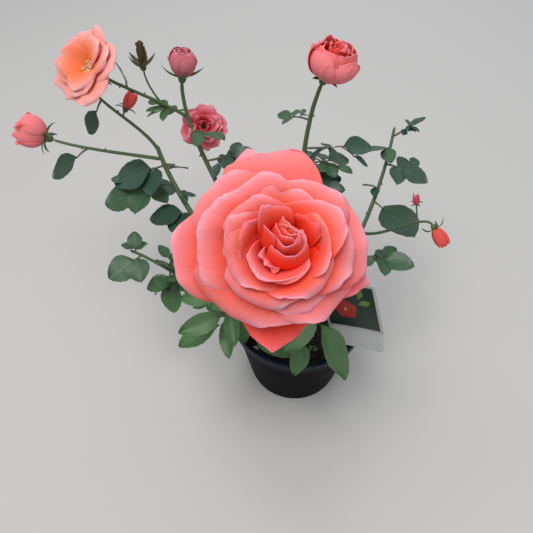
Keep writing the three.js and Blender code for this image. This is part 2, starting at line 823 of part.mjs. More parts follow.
// A leaflet: a pointed oval blade with a raised fold along its midrib, drooping towards its tip.
function leafletSolid(root, along, up, length, breadth) {
  const side = along.clone().cross(up).normalize();
  const rise = side.clone().cross(along).normalize();
  const blade = new THREE.SphereGeometry(1, 6, 2);
  return solidOf(
    shaped(blade, (x, y, z) => {
      const share = Math.abs(y) > 0.5 ? 0.3 : (x + 1) / 2;
      const half = 0.57 * breadth * length * z * (1 - 0.25 * x);
      const height = 0.05 * length * Math.abs(z) - 0.16 * length * share ** 2 + (y * LEAF_THICKNESS) / 2;
      return root
        .clone()
        .addScaledVector(along, length * share)
        .addScaledVector(side, half)
        .addScaledVector(rise, height);
    }),
  );
}

// A compound leaf: a stalk that arches from its start, a leaflet at its end and pairs along it.
function compoundLeaf(start, tip, mass, stalkRadius, chance) {
  const { leaflets, breadth } = mass;
  const reach = tip.clone().sub(start);
  const length = Math.min(mass.length, 0.75 * reach.length());
  const sky = new THREE.Vector3(0, 0, 1).addScaledVector(reach.clone().setZ(0).normalize(), 0.35);
  const end = tip.clone().addScaledVector(reach.clone().normalize(), -length);
  const knee = start.clone().lerp(end, 0.5).addScaledVector(sky, start.distanceTo(end) * 0.14);
  const stalk = new THREE.QuadraticBezierCurve3(start, knee, end);
  const bend = stalk.getPoint(0.5);
  const outer = new THREE.LineCurve3(bend, end);
  const inner = new THREE.LineCurve3(start, bend);
  const radiusAt = (share) => mix(stalkRadius, RACHIS_RADIUS, Math.min(1, 2 * share));
  const parts = [{ solid: solidOf(bar(stalk, radiusAt, 3, 2)), stalk: true }];
  const span = outer.getLength();
  const blade = (back, turn, size) => {
    const half = back < span ? outer : inner;
    const root = half.getPoint(1 - (back % span) / span);
    const along = turn ? half.getTangent(0) : reach.clone().normalize();
    const aside = along.clone().cross(sky).normalize();
    along.multiplyScalar(Math.cos(radians(turn))).addScaledVector(aside, Math.sin(radians(turn)));
    along.addScaledVector(sky, chance.spread(0.16)).normalize();
    const up = sky.clone().addScaledVector(aside, chance.spread(0.5)).normalize();
    const grown = size * (1 + chance.spread(0.08));
    parts.push({ solid: leafletSolid(root, along, up, grown, breadth), stalk: false });
  };
  blade(LEAFLET_ROOT, 0, length + LEAFLET_ROOT);
  for (let pair = 0; pair < (leaflets - 1) / 2; pair++) {
    const back = pair ? length * (0.4 + 0.75 * breadth) : Math.min(0.3 * length, 0.75 * span);
    const size = length * (0.86 - 0.12 * pair);
    if (back > 1.9 * span) break;
    blade(back, 68, size);
    blade(back, -68, size);
  }
  return parts;
}

// A mass: one shoot with a compound leaf at its end and others turned round it by the golden angle.
// A leaf that would touch anything else is skipped, and the foot keeps clear of the limb it leaves.
function massSolid(mass, seed) {
  const chance = new Seeded(seed);
  const foot = limbCurve[mass.host].getPoint(mass.share);
  const tip = vec(mass.tip);
  const room = limbSolid(mass.host, CLEARANCE);
  const kept = [];
  const blades = [];
  const grow = (start, end, radius) => {
    for (const { solid, stalk } of compoundLeaf(start, end, mass, radius, chance)) {
      const cut = solid.subtract(room);
      const crowded = !stalk && blades.some((other) => other.intersect(cut).volume() > CROWDING);
      if (!crowded && staysClear(cut, mass.host)) {
        kept.push(cut);
        if (!stalk) blades.push(cut);
      } else if (stalk) return;
    }
  };
  if (mass.leaves === 1) {
    grow(foot, tip, SHOOT_RADIUS);
    return fuse(kept);
  }
  const fork = foot.clone().lerp(tip, 0.45);
  const way = fork.clone().sub(foot).normalize();
  const shoot = new THREE.LineCurve3(foot, fork.clone().addScaledVector(way, 1));
  kept.push(solidOf(bar(shoot, () => SHOOT_RADIUS, 4, 1)).subtract(room));
  grow(fork, tip, RACHIS_RADIUS);
  const span = fork.distanceTo(tip);
  const level = new THREE.Vector3(0, 0, 1).cross(way).normalize();
  const over = way.clone().cross(level);
  for (let k = 1; k < mass.leaves; k++) {
    const turn = radians(GOLDEN_ANGLE * (k + seed));
    const start = shoot.getPoint(1 - 0.3 * k);
    const out = level.clone().multiplyScalar(Math.cos(turn)).addScaledVector(over, 0.6 * Math.sin(turn));
    const end = start.clone().addScaledVector(way, span * 0.45).addScaledVector(out, span * 0.75);
    grow(start, end, RACHIS_RADIUS);
  }
  return fuse(kept);
}

const group = new THREE.Group();
const placed = [];

function addPiece(name, solid, finish) {
  const material = new THREE.MeshStandardMaterial({ metalness: 0, ...FINISH[finish] });
  const piece = new THREE.Mesh(geometryOf(solid), material);
  piece.name = name;
  group.add(piece);
  placed.push({ name, solid, box: solid.boundingBox() });
}

const label = labelSolids(0);
const labelRoom = labelSolids(CLEARANCE);
addPiece("pot", potSolid(), "pot");
addPiece("soil", soilSolid().subtract(labelRoom.tongue).subtract(stockSolid(CLEARANCE)), "soil");
addPiece("plant_label", label.card, "card");
addPiece("stem_base", stockSolid(0), "wood");
for (const name of Object.keys(LIMBS)) {
  const room = limbSolid(LIMBS[name].host ?? "stem_base", CLEARANCE);
  addPiece(name, fuse([limbSolid(name, 0).subtract(room)]), "cane");
}
for (const [name, bloom] of Object.entries(BLOOMS)) {
  addPiece(name, bloomSolid(bloom), bloom.finish);
}
for (const [index, [name, mass]] of Object.entries(MASSES).entries()) {
  addPiece(name, massSolid(mass, index + 1), "leaf");
}

export default group;
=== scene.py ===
"""A patio rose in its nursery pot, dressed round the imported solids.

Sizes are in millimetres in the same frame as the solids, and become metres where a mesh is made.
"""

import logging
import math
from dataclasses import dataclass, field, replace
from enum import Enum

import bmesh
import bpy
import numpy as np
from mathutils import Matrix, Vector, noise
from mathutils.bvhtree import BVHTree
from mathutils.kdtree import KDTree


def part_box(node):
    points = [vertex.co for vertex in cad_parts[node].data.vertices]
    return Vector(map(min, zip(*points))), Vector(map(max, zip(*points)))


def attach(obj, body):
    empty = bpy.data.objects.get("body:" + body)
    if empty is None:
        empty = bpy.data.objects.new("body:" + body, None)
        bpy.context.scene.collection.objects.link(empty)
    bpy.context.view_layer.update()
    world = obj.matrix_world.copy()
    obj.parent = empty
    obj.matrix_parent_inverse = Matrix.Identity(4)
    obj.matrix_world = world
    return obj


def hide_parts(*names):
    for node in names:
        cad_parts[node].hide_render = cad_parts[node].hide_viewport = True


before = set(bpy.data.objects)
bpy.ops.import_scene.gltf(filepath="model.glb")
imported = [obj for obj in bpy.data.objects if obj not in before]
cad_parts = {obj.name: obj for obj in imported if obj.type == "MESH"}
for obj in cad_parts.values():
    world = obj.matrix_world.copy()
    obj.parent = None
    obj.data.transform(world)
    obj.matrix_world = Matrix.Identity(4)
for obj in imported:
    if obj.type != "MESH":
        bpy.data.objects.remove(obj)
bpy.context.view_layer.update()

# Three numbers, as of a place, a direction or a colour; two numbers; and Blender's types.
Triple = tuple[float, float, float]
Pair = tuple[float, float]
Socket = bpy.types.NodeSocket
Material = bpy.types.Material
Piece = bpy.types.Object

LOG = logging.getLogger("patio_rose")
MM = 0.001
CLEARANCE = 0.3
WELD = 0.05
EXTRA_REACH = 4.0
TRIES = 300
ROOT_BODY = "root"
GOLDEN_ANGLE = math.radians(137.508)
SKY = Vector((0, 0, 1))

POT_HEIGHT = 128.0
POT_BASE_RADIUS = 54.0
POT_RIM_RADIUS = 75.0
POT_WALL = 2.2
POT_FLOOR = 3.0
LIP_HEIGHT = 14.0
LIP_PROUD = 2.4
SOIL_LEVEL = 113.0
STOCK_TOP = 135.0
STOCK_SUNK = 9.0
CREASE_ANGLE = 38.0
TAPER = 0.8
LEAFLET_ROOT = 1.6
RACHIS_RADIUS = 0.8
SHOOT_RADIUS = 1.3


class Seeded:
    """A generator of even numbers between 0 and 1 that gives the same row for the same seed."""

    def __init__(self, seed: int) -> None:
        """Start the row for a seed.

        Args:
            seed: the whole number that the row depends on.
        """
        self.state = seed * 7919 + 17
        self.next()

    def next(self) -> float:
        """Return the next number of the row."""
        self.state = (self.state * 16807) % 2147483647
        return self.state / 2147483647

    def spread(self, size: float) -> float:
        """Return a number between minus size and plus size."""
        return (self.next() * 2 - 1) * size


@dataclass(frozen=True)
class Curve:
    """A Bezier curve through two, three or four points."""

    points: tuple[Vector, ...]

    def at(self, share: float) -> Vector:
        """Find the place at a share of the curve.

        Args:
            share: the share of the curve, from 0 to 1.

        Returns:
            The place.
        """
        row = [p.copy() for p in self.points]
        while len(row) > 1:
            row = [a.lerp(b, share) for a, b in zip(row, row[1:])]
        return row[0]

    def along(self, share: float) -> Vector:
        """Find the direction of travel at a share of the curve.

        Args:
            share: the share of the curve, from 0 to 1.

        Returns:
            The direction, of length 1.
        """
        step = 1e-3
        ahead = self.at(min(1.0, share + step))
        return (ahead - self.at(max(0.0, share - step))).normalized()

    def frame(self, share: float) -> tuple[Vector, Vector, Vector]:
        """Return the place and two directions across the curve.

        Args:
            share: the share of the curve, from 0 to 1.

        Returns:
            The place, the level direction across and the one square to both.
        """
        along = self.along(share)
        side = SKY.cross(along)
        if side.length < 0.05:
            side = Vector((1, 0, 0)) - along * along.x
        side.normalize()
        return self.at(share), side, along.cross(side)


def mix(a: float, b: float, share: float) -> float:
    """Return the value a share of the way from a to b."""
    return a + (b - a) * share


# Materials

# The sockets of a Mix node in its colour mode: its share and two colours, and its result.
MIX_INPUTS = (0, 6, 7)
MIX_RESULT = 2

# Where along a petal each of its colours is reached, on its face and on its back.
FACE_STOPS = (0.0, 0.5, 0.73, 0.88, 0.98)
BACK_STOPS = (0.0, 0.3, 0.9, 1.0)

# A leaflet's veins: half the midrib, the count and slant of the side veins, and half of one.
RIB_HALF = 0.016
SIDE_VEINS = 8.0
VEIN_SLANT = 7.0
VEIN_HALF = 0.05


class Nodes:
    """A material under construction, with short ways to add and join its nodes."""

    def __init__(self, name: str) -> None:
        """Start a material with one Principled shader.

        Args:
            name: the material's name.
        """
        self.material = bpy.data.materials.new(name)
        self.material.use_nodes = True
        self.tree = self.material.node_tree
        self.shader = self.tree.nodes["Principled BSDF"]

    def add(self, kind: str, **values: object) -> bpy.types.Node:
        """Add a node and set its properties or its inputs by name.

        Args:
            kind: the node's type name.
            values: properties, or inputs with spaces written as underscores.

        Returns:
            The new node.
        """
        node = self.tree.nodes.new(kind)
        for key, value in values.items():
            if hasattr(node, key):
                setattr(node, key, value)
            else:
                node.inputs[key.replace("_", " ")].default_value = value
        return node

    def link(self, source: Socket, target: Socket) -> None:
        """Join an output to an input."""
        self.tree.links.new(source, target)

    def feed(self, target: Socket, value: object) -> None:
        """Join an output to an input, or set the input to a number or a colour.

        Args:
            target: the input.
            value: a socket, a number or a colour of three numbers.
        """
        if isinstance(value, Socket):
            self.link(value, target)
        else:
            target.default_value = (*value, 1.0) if isinstance(value, tuple) else value

    def noise(self, scale: float, detail: float = 4.0) -> Socket:
        """Add a noise on the object's coordinates.

        Args:
            scale: the noise's scale.
            detail: the noise's detail.

        Returns:
            The noise's value.
        """
        place = self.add("ShaderNodeTexCoord")
        node = self.add("ShaderNodeTexNoise", Scale=scale, Detail=detail)
        self.link(place.outputs["Object"], node.inputs["Vector"])
        return node.outputs["Fac"]

    def ramp(self, source: Socket, stops: list[tuple[float, Triple]]) -> Socket:
        """Add a colour ramp.

        Args:
            source: the value that runs along the ramp.
            stops: pairs of place and colour.

        Returns:
            The ramp's colour.
        """
        node = self.add("ShaderNodeValToRGB")
        elements = node.color_ramp.elements
        while len(elements) < len(stops):
            elements.new(0.5)
        for element, (place, colour) in zip(elements, stops):
            element.position = place
            element.color = (*colour, 1.0)
        self.link(source, node.inputs["Fac"])
        return node.outputs["Color"]

    def blend(self, share: object, a: object, b: object, mode: str = "MIX") -> Socket:
        """Mix two colours.

        Args:
            share: a number or a socket.
            a: the first colour or socket.
            b: the second colour or socket.
            mode: the way of mixing.

        Returns:
            The mixed colour.
        """
        node = self.add("ShaderNodeMix", data_type="RGBA", blend_type=mode)
        for place, value in zip(MIX_INPUTS, (share, a, b)):
            self.feed(node.inputs[place], value)
        return node.outputs[MIX_RESULT]

    def maths(self, kind: str, a: object, b: object = 0.0) -> Socket:
        """Do one sum.

        Args:
            kind: the operation.
            a: the first number or socket.
            b: the second number or socket.

        Returns:
            The sum's value.
        """
        node = self.add("ShaderNodeMath", operation=kind)
        self.feed(node.inputs[0], a)
        self.feed(node.inputs[1], b)
        return node.outputs[0]

    def bump(self, source: Socket, strength: float, distance: float) -> None:
        """Put a relief into the shader's normal.

        Args:
            source: the relief's height.
            strength: how strongly it shows.
            distance: its full height in metres.
        """
        node = self.add("ShaderNodeBump", Strength=strength, Distance=distance)
        self.link(source, node.inputs["Height"])
        self.link(node.outputs["Normal"], self.shader.inputs["Normal"])

    def paint(self, source: Socket) -> None:
        """Put a colour into the shader."""
        self.link(source, self.shader.inputs["Base Color"])

    def set(self, **values: object) -> None:
        """Set inputs of the shader by name, with spaces written as underscores."""
        for key, value in values.items():
            self.shader.inputs[key.replace("_", " ")].default_value = value

    def attribute(self, name: str) -> Socket:
        """Return the value of a mesh attribute."""
        return self.add("ShaderNodeAttribute", attribute_name=name).outputs["Fac"]

    def uv(self) -> tuple[Socket, Socket]:
        """Read the piece's own UV map.

        Returns:
            Its coordinates across and along the piece.
        """
        place = self.add("ShaderNodeUVMap", uv_map="surface")
        parts = self.add("ShaderNodeSeparateXYZ")
        self.link(place.outputs["UV"], parts.inputs["Vector"])
        return parts.outputs["X"], parts.outputs["Y"]

    def stretched(self, scale: float, across: float, along: float) -> Socket:
        """Add a noise on the UV map that is drawn out along the piece.

        Args:
            scale: the noise's scale.
            across: how closely it lies across the piece.
            along: how closely it lies along the piece.

        Returns:
            The noise's value.
        """
        place = self.add("ShaderNodeUVMap", uv_map="surface")
        turn = self.add("ShaderNodeMapping", Scale=(across, along, 1.0))
        node = self.add("ShaderNodeTexNoise", Scale=scale, Detail=3.0)
        self.link(place.outputs["UV"], turn.inputs["Vector"])
        self.link(turn.outputs["Vector"], node.inputs["Vector"])
        return node.outputs["Fac"]


@dataclass(frozen=True)
class PetalFinish:
    """A petal's colours from its claw to its rim, partly its own and partly painted shade and sheen, its
    back, and a painted shadow colour.
    """

    name: str
    claw: Triple
    deep: Triple
    body: Triple
    rim: Triple
    edge: Triple
    back: Triple
    # A painted shadow colour for petals in shade, reached where the tone is above 1.
    painted_shadow: Triple

    def make(self) -> list[Material]:
        """Build the finish.

        Returns:
            The materials of the face and the back.
        """
        # The face ramp is partly the petal's own colour and partly painted light: saturated towards the claw
        # as painted shade in the bloom's hollow, pale at the edge as painted sheen.
        front = list(zip(FACE_STOPS, (self.claw, self.deep, self.body, self.rim, self.edge)))
        behind = list(zip(BACK_STOPS, (self.claw, self.back, self.back, self.rim)))
        return [self.skin(self.name, front), self.skin(f"{self.name}_back", behind)]

    def skin(self, name: str, stops: list[tuple[float, Triple]]) -> Material:
        """Build one side's material.

        Args:
            name: the material's name.
            stops: the colours from the claw to the rim.

        Returns:
            The material.
        """
        m = Nodes(name)
        _, along = m.uv()
        veins = m.stretched(scale=6.0, across=8.0, along=0.6)
        spots = m.noise(scale=55.0)
        drift = m.maths("ADD", along, m.maths("MULTIPLY", m.maths("SUBTRACT", spots, 0.5), 0.1))
        base = m.ramp(drift, stops)
        # tone paints each petal's light and shade: below 0 it pales the petal towards the rim colour as
        # painted sheen, above 0 it deepens it towards the deep colour as painted shade and glow, and above 1
        # it darkens it towards the painted shadow colour.
        tone = m.attribute("tone")
        sheen_paled = m.blend(m.maths("MULTIPLY", tone, -1.0), base, self.rim)
        toned = m.blend(m.maths("SUBTRACT", tone, 1.0), m.blend(tone, sheen_paled, self.deep), self.painted_shadow)
        light = m.ramp(veins, [(0.3, (0.97, 0.93, 0.93)), (0.62, (1.0, 1.0, 1.0))])
        m.paint(m.blend(1.0, toned, light, "MULTIPLY"))
        m.set(Roughness=0.7, Subsurface_Weight=0.3, Subsurface_Scale=0.003, Specular_IOR_Level=0.04)
        m.set(Subsurface_Radius=(1.0, 0.25, 0.15))
        m.bump(m.maths("ADD", veins, m.maths("MULTIPLY", spots, 0.4)), strength=0.2, distance=0.001)
        return m.material


@dataclass(frozen=True)
class LeafFinish:
    """A leaf's green with its paler midrib and side veins, and a waxy gloss."""

    name: str
    green: Triple
    vein: Triple
    gloss: float = 0.42

    def make(self) -> Material:
        """Build the finish.

        Returns:
            The material.
        """
        m = Nodes(self.name)
        across, along = m.uv()
        off = m.maths("ABSOLUTE", m.maths("SUBTRACT", across, 0.5))
        rib = m.maths("LESS_THAN", off, RIB_HALF)
        run = m.maths("MULTIPLY", along, SIDE_VEINS)
        slant = m.maths("SUBTRACT", run, m.maths("MULTIPLY", off, VEIN_SLANT))
        wave = m.maths("ABSOLUTE", m.maths("SUBTRACT", m.maths("FRACT", slant), 0.5))
        side = m.maths("LESS_THAN", wave, VEIN_HALF)
        lines = m.maths("MAXIMUM", rib, m.maths("MULTIPLY", side, 0.45))
        patches = m.noise(scale=45.0)
        dark = tuple(0.62 * part for part in self.green)
        body = m.blend(patches, dark, tuple(1.3 * part for part in self.green))
        m.paint(m.blend(m.maths("MULTIPLY", lines, 0.55), body, self.vein))
        m.set(Roughness=self.gloss, Specular_IOR_Level=0.5, Subsurface_Weight=0.08)
        m.set(Subsurface_Radius=(0.3, 1.0, 0.2), Subsurface_Scale=0.001)
        relief = m.maths("SUBTRACT", m.maths("MULTIPLY", patches, 0.5), lines)
        m.bump(relief, strength=0.35, distance=0.0006)
        return m.material


@dataclass(frozen=True)
class BarkFinish:
    """A stem's skin: green to brown patches with fine lengthwise streaks."""

    name: str
    light: Triple
    dark: Triple
    rough: float
    relief: float

    def make(self) -> Material:
        """Build the finish.

        Returns:
            The material.
        """
        m = Nodes(self.name)
        patches = m.noise(scale=90.0, detail=6.0)
        streaks = m.stretched(scale=3.0, across=8.0, along=2.0)
        colour = m.blend(m.blend(0.5, patches, streaks), self.dark, self.light)
        m.paint(colour)
        m.set(Roughness=self.rough, Specular_IOR_Level=0.4)
        m.bump(m.maths("ADD", patches, streaks), self.relief, distance=0.001)
        return m.material


@dataclass(frozen=True)
class PlasticFinish:
    """Moulded plastic with a fine grain, faint scuffs and dust."""

    name: str
    colour: Triple
    dust: Triple
    rough: float

    def make(self) -> Material:
        """Build the finish.

        Returns:
            The material.
        """
        m = Nodes(self.name)
        cloud = m.noise(scale=22.0, detail=5.0)
        grain = m.noise(scale=900.0, detail=2.0)
        share = m.ramp(cloud, [(0.45, (0, 0, 0)), (0.8, (0.35, 0.35, 0.35))])
        m.paint(m.blend(share, self.colour, self.dust))
        rough = m.maths("ADD", m.maths("MULTIPLY", cloud, 0.2), self.rough - 0.1)
        m.link(rough, m.shader.inputs["Roughness"])
        m.set(Specular_IOR_Level=0.03)
        m.bump(grain, strength=0.12, distance=0.0003)
        return m.material


@dataclass(frozen=True)
class SoilFinish:
    """Loose dark soil with paler specks."""

    name: str
    dark: Triple
    light: Triple

    def make(self) -> Material:
        """Build the finish.

        Returns:
            The material.
        """
        m = Nodes(self.name)
        crumbs = m.noise(scale=260.0, detail=8.0)
        stops = [(0.35, self.dark), (0.62, self.light), (0.8, tuple(2.2 * part for part in self.light))]
        m.paint(m.ramp(crumbs, stops))
        m.set(Roughness=0.9, Specular_IOR_Level=0.2)
        m.bump(crumbs, strength=0.9, distance=0.002)
        return m.material


@dataclass(frozen=True)
class PrintFinish:
    """A printed or plain area of the label, with slight mottling."""

    name: str
    colour: Triple
    mottle: float = 0.15
    rough: float = 0.35

    def make(self) -> Material:
        """Build the finish.

        Returns:
            The material.
        """
        m = Nodes(self.name)
        cloud = m.noise(scale=120.0, detail=3.0)
        dark = tuple((1 - self.mottle) * part for part in self.colour)
        light = tuple((1 + self.mottle) * part for part in self.colour)
        m.paint(m.blend(cloud, dark, light))
        m.set(Roughness=self.rough)
        m.bump(cloud, strength=0.05, distance=0.0003)
        return m.material


Finish = LeafFinish | BarkFinish | SoilFinish | PrintFinish

# In each petal finish the deep and edge colours are partly painted shade and sheen, and the last colour is a
# painted shadow colour.
CORAL = PetalFinish(
    "coral_petal",
    claw=(0.90, 0.055, 0.004),
    deep=(0.92, 0.026, 0.004),
    body=(0.92, 0.12, 0.075),
    rim=(0.92, 0.24, 0.26),
    edge=(0.95, 0.40, 0.49),
    back=(0.92, 0.085, 0.05),
    painted_shadow=(0.34, 0.014, 0.014),
)
APRICOT = PetalFinish(
    "apricot_petal",
    claw=(0.95, 0.20, 0.004),
    deep=(0.95, 0.17, 0.025),
    body=(0.94, 0.25, 0.16),
    rim=(0.95, 0.38, 0.35),
    edge=(0.97, 0.50, 0.50),
    back=(0.92, 0.16, 0.10),
    painted_shadow=(0.70, 0.20, 0.03),
)
ROSE_PINK = PetalFinish(
    "pink_petal",
    claw=(0.66, 0.22, 0.14),
    deep=(0.60, 0.035, 0.06),
    body=(0.70, 0.11, 0.15),
    rim=(0.76, 0.22, 0.27),
    edge=(0.80, 0.36, 0.42),
    back=(0.66, 0.12, 0.15),
    painted_shadow=(0.26, 0.01, 0.02),
)
PALE_PINK = PetalFinish(
    "pale_pink_petal",
    claw=(0.60, 0.30, 0.20),
    deep=(0.60, 0.08, 0.10),
    body=(0.64, 0.15, 0.19),
    rim=(0.68, 0.24, 0.29),
    edge=(0.72, 0.34, 0.40),
    back=(0.62, 0.17, 0.20),
    painted_shadow=(0.40, 0.05, 0.05),
)
SCARLET = PetalFinish(
    "scarlet_petal",
    claw=(0.70, 0.14, 0.05),
    deep=(0.72, 0.03, 0.02),
    body=(0.78, 0.08, 0.07),
    rim=(0.82, 0.14, 0.13),
    edge=(0.86, 0.26, 0.26),
    back=(0.80, 0.10, 0.09),
    painted_shadow=(0.30, 0.01, 0.01),
)
BUD_SHEATH = PetalFinish(
    "bud_sheath",
    claw=(0.09, 0.10, 0.03),
    deep=(0.07, 0.045, 0.018),
    body=(0.10, 0.065, 0.025),
    rim=(0.11, 0.055, 0.025),
    edge=(0.12, 0.05, 0.03),
    back=(0.09, 0.07, 0.03),
    painted_shadow=(0.05, 0.03, 0.012),
)


class Tone(Enum):
    """The greens that the sprays of leaves are dealt out in."""

    DARK = LeafFinish("dark_leaf", (0.022, 0.062, 0.036), (0.06, 0.12, 0.06))
    TEAL = LeafFinish("teal_leaf", (0.030, 0.080, 0.056), (0.08, 0.15, 0.09))
    MID = LeafFinish("mid_leaf", (0.042, 0.105, 0.048), (0.10, 0.18, 0.08))
    FRESH = LeafFinish("fresh_leaf", (0.062, 0.150, 0.046), (0.13, 0.24, 0.09))
    PALE = LeafFinish("pale_leaf_skin", (0.26, 0.40, 0.27), (0.40, 0.52, 0.38), gloss=0.55)


BLACK_PLASTIC = PlasticFinish("pot_black", (0.0012, 0.0013, 0.0018), (0.005, 0.005, 0.006), rough=0.5)
# The lip's slate blue is a painted reflection of the sky on the black plastic.
LIP_SKY_REFLECTION_PLASTIC = PlasticFinish("pot_lip_painted_sky_reflection", (0.006, 0.012, 0.024), (0.02, 0.028, 0.04), rough=0.36)
POTTING_MIX = SoilFinish("potting_soil", (0.006, 0.0045, 0.004), (0.030, 0.021, 0.016))
LOOSE_CRUMB = SoilFinish("soil_crumb", (0.008, 0.006, 0.005), (0.045, 0.032, 0.024))
PALE_STONE = BarkFinish("pebble_stone", (0.42, 0.40, 0.36), (0.22, 0.20, 0.18), rough=0.7, relief=0.4)
SPROUT_GREEN = LeafFinish("sprout_green", (0.06, 0.16, 0.035), (0.12, 0.24, 0.08))
GREEN_BARK = BarkFinish("green_cane", (0.085, 0.150, 0.050), (0.050, 0.085, 0.035), rough=0.5, relief=0.25)
BROWN_BARK = BarkFinish("woody_bark", (0.20, 0.15, 0.09), (0.06, 0.045, 0.03), rough=0.8, relief=0.9)
THORN_SKIN = BarkFinish("thorn_skin", (0.22, 0.09, 0.05), (0.12, 0.05, 0.03), rough=0.45, relief=0.2)
STALK_SKIN = BarkFinish("leaf_stalk", (0.11, 0.14, 0.06), (0.10, 0.07, 0.04), rough=0.5, relief=0.2)
CALYX_SKIN = BarkFinish("calyx_green", (0.11, 0.17, 0.06), (0.055, 0.085, 0.035), rough=0.5, relief=0.25)
BUD_SKIN = BarkFinish("bud_sepal", (0.10, 0.13, 0.045), (0.085, 0.06, 0.035), rough=0.5, relief=0.3)


# Meshes


def select_only(*pieces: Piece) -> None:
    """Select some pieces and nothing else, as the loaded solids come selected.

    Args:
        pieces: the pieces, the active one first.
    """
    bpy.ops.object.select_all(action="DESELECT")
    for piece in pieces:
        piece.select_set(True)
    if pieces:
        bpy.context.view_layer.objects.active = pieces[0]


def link_mesh(name: str, mesh: bpy.types.Mesh) -> Piece:
    """Put a mesh into the scene as an object at the origin.

    Args:
        name: the object's name.
        mesh: the mesh.

    Returns:
        The object.
    """
    piece = bpy.data.objects.new(name, mesh)
    bpy.context.scene.collection.objects.link(piece)
    return piece


@dataclass
class Sheets:
    """Many small meshes gathered into one, with a UV map and a tone for each point, which paints the petals'
    light and shade.
    """

    points: list[np.ndarray] = field(default_factory=list)
    faces: list[np.ndarray] = field(default_factory=list)
    places: list[np.ndarray] = field(default_factory=list)
    tones: list[np.ndarray] = field(default_factory=list)
    count: int = 0

    def add(self, points: np.ndarray, faces: np.ndarray, uv: np.ndarray, tone: float = 0.0) -> None:
        """Add one small mesh.

        Args:
            points: its points in millimetres.
            faces: its quads.
            uv: a pair of coordinates for each point.
            tone: the tone of all its points, a petal's painted light and shade.
        """
        self.points.append(points)
        self.faces.append(faces + self.count)
        self.places.append(uv)
        self.tones.append(np.full(len(points), tone))
        self.count += len(points)

    def build(self, name: str) -> Piece:
        """Make the one object.

        Args:
            name: the piece's name.

        Returns:
            The object, with its mesh in metres.
        """
        points = np.concatenate(self.points) * MM
        faces = np.concatenate(self.faces)
        mesh = bpy.data.meshes.new(name)
        mesh.from_pydata(points.tolist(), [], [tuple(dict.fromkeys(f)) for f in faces.tolist()])
        places = np.concatenate(self.places)
        layer = mesh.uv_layers.new(name="surface")
        corners = np.empty(len(mesh.loops), dtype=np.int32)
        mesh.loops.foreach_get("vertex_index", corners)
        layer.data.foreach_set("uv", places[corners].astype(np.float32).ravel())
        tone = mesh.attributes.new("tone", "FLOAT", "POINT")
        tone.data.foreach_set("value", np.concatenate(self.tones).astype(np.float32))
        mesh.shade_smooth()
        return link_mesh(name, mesh)


def take_mesh() -> tuple[np.ndarray, np.ndarray]:
    """Read the object that was just modelled and remove it.

    Returns:
        Its points and its faces.
    """
    model = bpy.context.active_object
    points = np.array([v.co[:] for v in model.data.vertices])
    faces = np.array([list(p.vertices) for p in model.data.polygons])
    bpy.data.objects.remove(model)
    return points, faces


def flat_grid(across: int, along: int) -> tuple[np.ndarray, np.ndarray, np.ndarray]:
    """Model a flat square grid.

    Args:
        across: the number of cells across.
        along: the number of cells along.

    Returns:
        Its points' places across, from -1 to 1, their places along, from 0 to 1, and its quads.
    """
    select_only()
    bpy.ops.mesh.primitive_grid_add(x_subdivisions=across, y_subdivisions=along, size=2)
    points, faces = take_mesh()
    return points[:, 0], (points[:, 1] + 1) / 2, faces


def surface_uv(u: np.ndarray, v: np.ndarray) -> np.ndarray:
    """Return the UV coordinates of points from their places across and along."""
    return np.stack([(u + 1) / 2, v], 1)


def finish_piece(piece: Piece, finish: Finish | None, slot: str, *nodes: str) -> None:
    """Dress a piece and hang it on the frame.

    Args:
        piece: the finished piece.
        finish: its finish, or nothing where the piece has its materials.
        slot: not used.
        nodes: the solids that it stands for.
    """
    if finish:
        piece.data.materials.append(finish.make())
    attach(piece, ROOT_BODY)
    if nodes:
        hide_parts(*nodes)
    LOG.info("%s: %d faces", piece.name, len(piece.data.polygons))


def close_seams(piece: Piece) -> None:
    """Weld a piece's seams and poles and turn its faces outwards.

    Args:
        piece: the piece.
    """
    select_only(piece)
    bpy.ops.object.mode_set(mode="EDIT")
    bpy.ops.mesh.select_all(action="SELECT")
    bpy.ops.mesh.remove_doubles(threshold=WELD * MM)
    bpy.ops.mesh.normals_make_consistent(inside=False)
    bpy.ops.object.mode_set(mode="OBJECT")


def join_pieces(piece: Piece, other: Piece) -> None:
    """Join another piece into a piece.

    Args:
        piece: the piece that stays.
        other: the piece that becomes part of it.
    """
    select_only(piece, other)
    bpy.ops.object.join()


def apply_modifier(piece: Piece, kind: str, **values: object) -> None:
    """Add a modifier to a piece and apply it.

    Args:
        piece: the piece.
        kind: the modifier's type.
        values: its properties.
    """
    select_only(piece)
    modifier = piece.modifiers.new(kind.lower(), kind)
    for key, value in values.items():
        setattr(modifier, key, value)
    bpy.ops.object.modifier_apply(modifier=modifier.name)


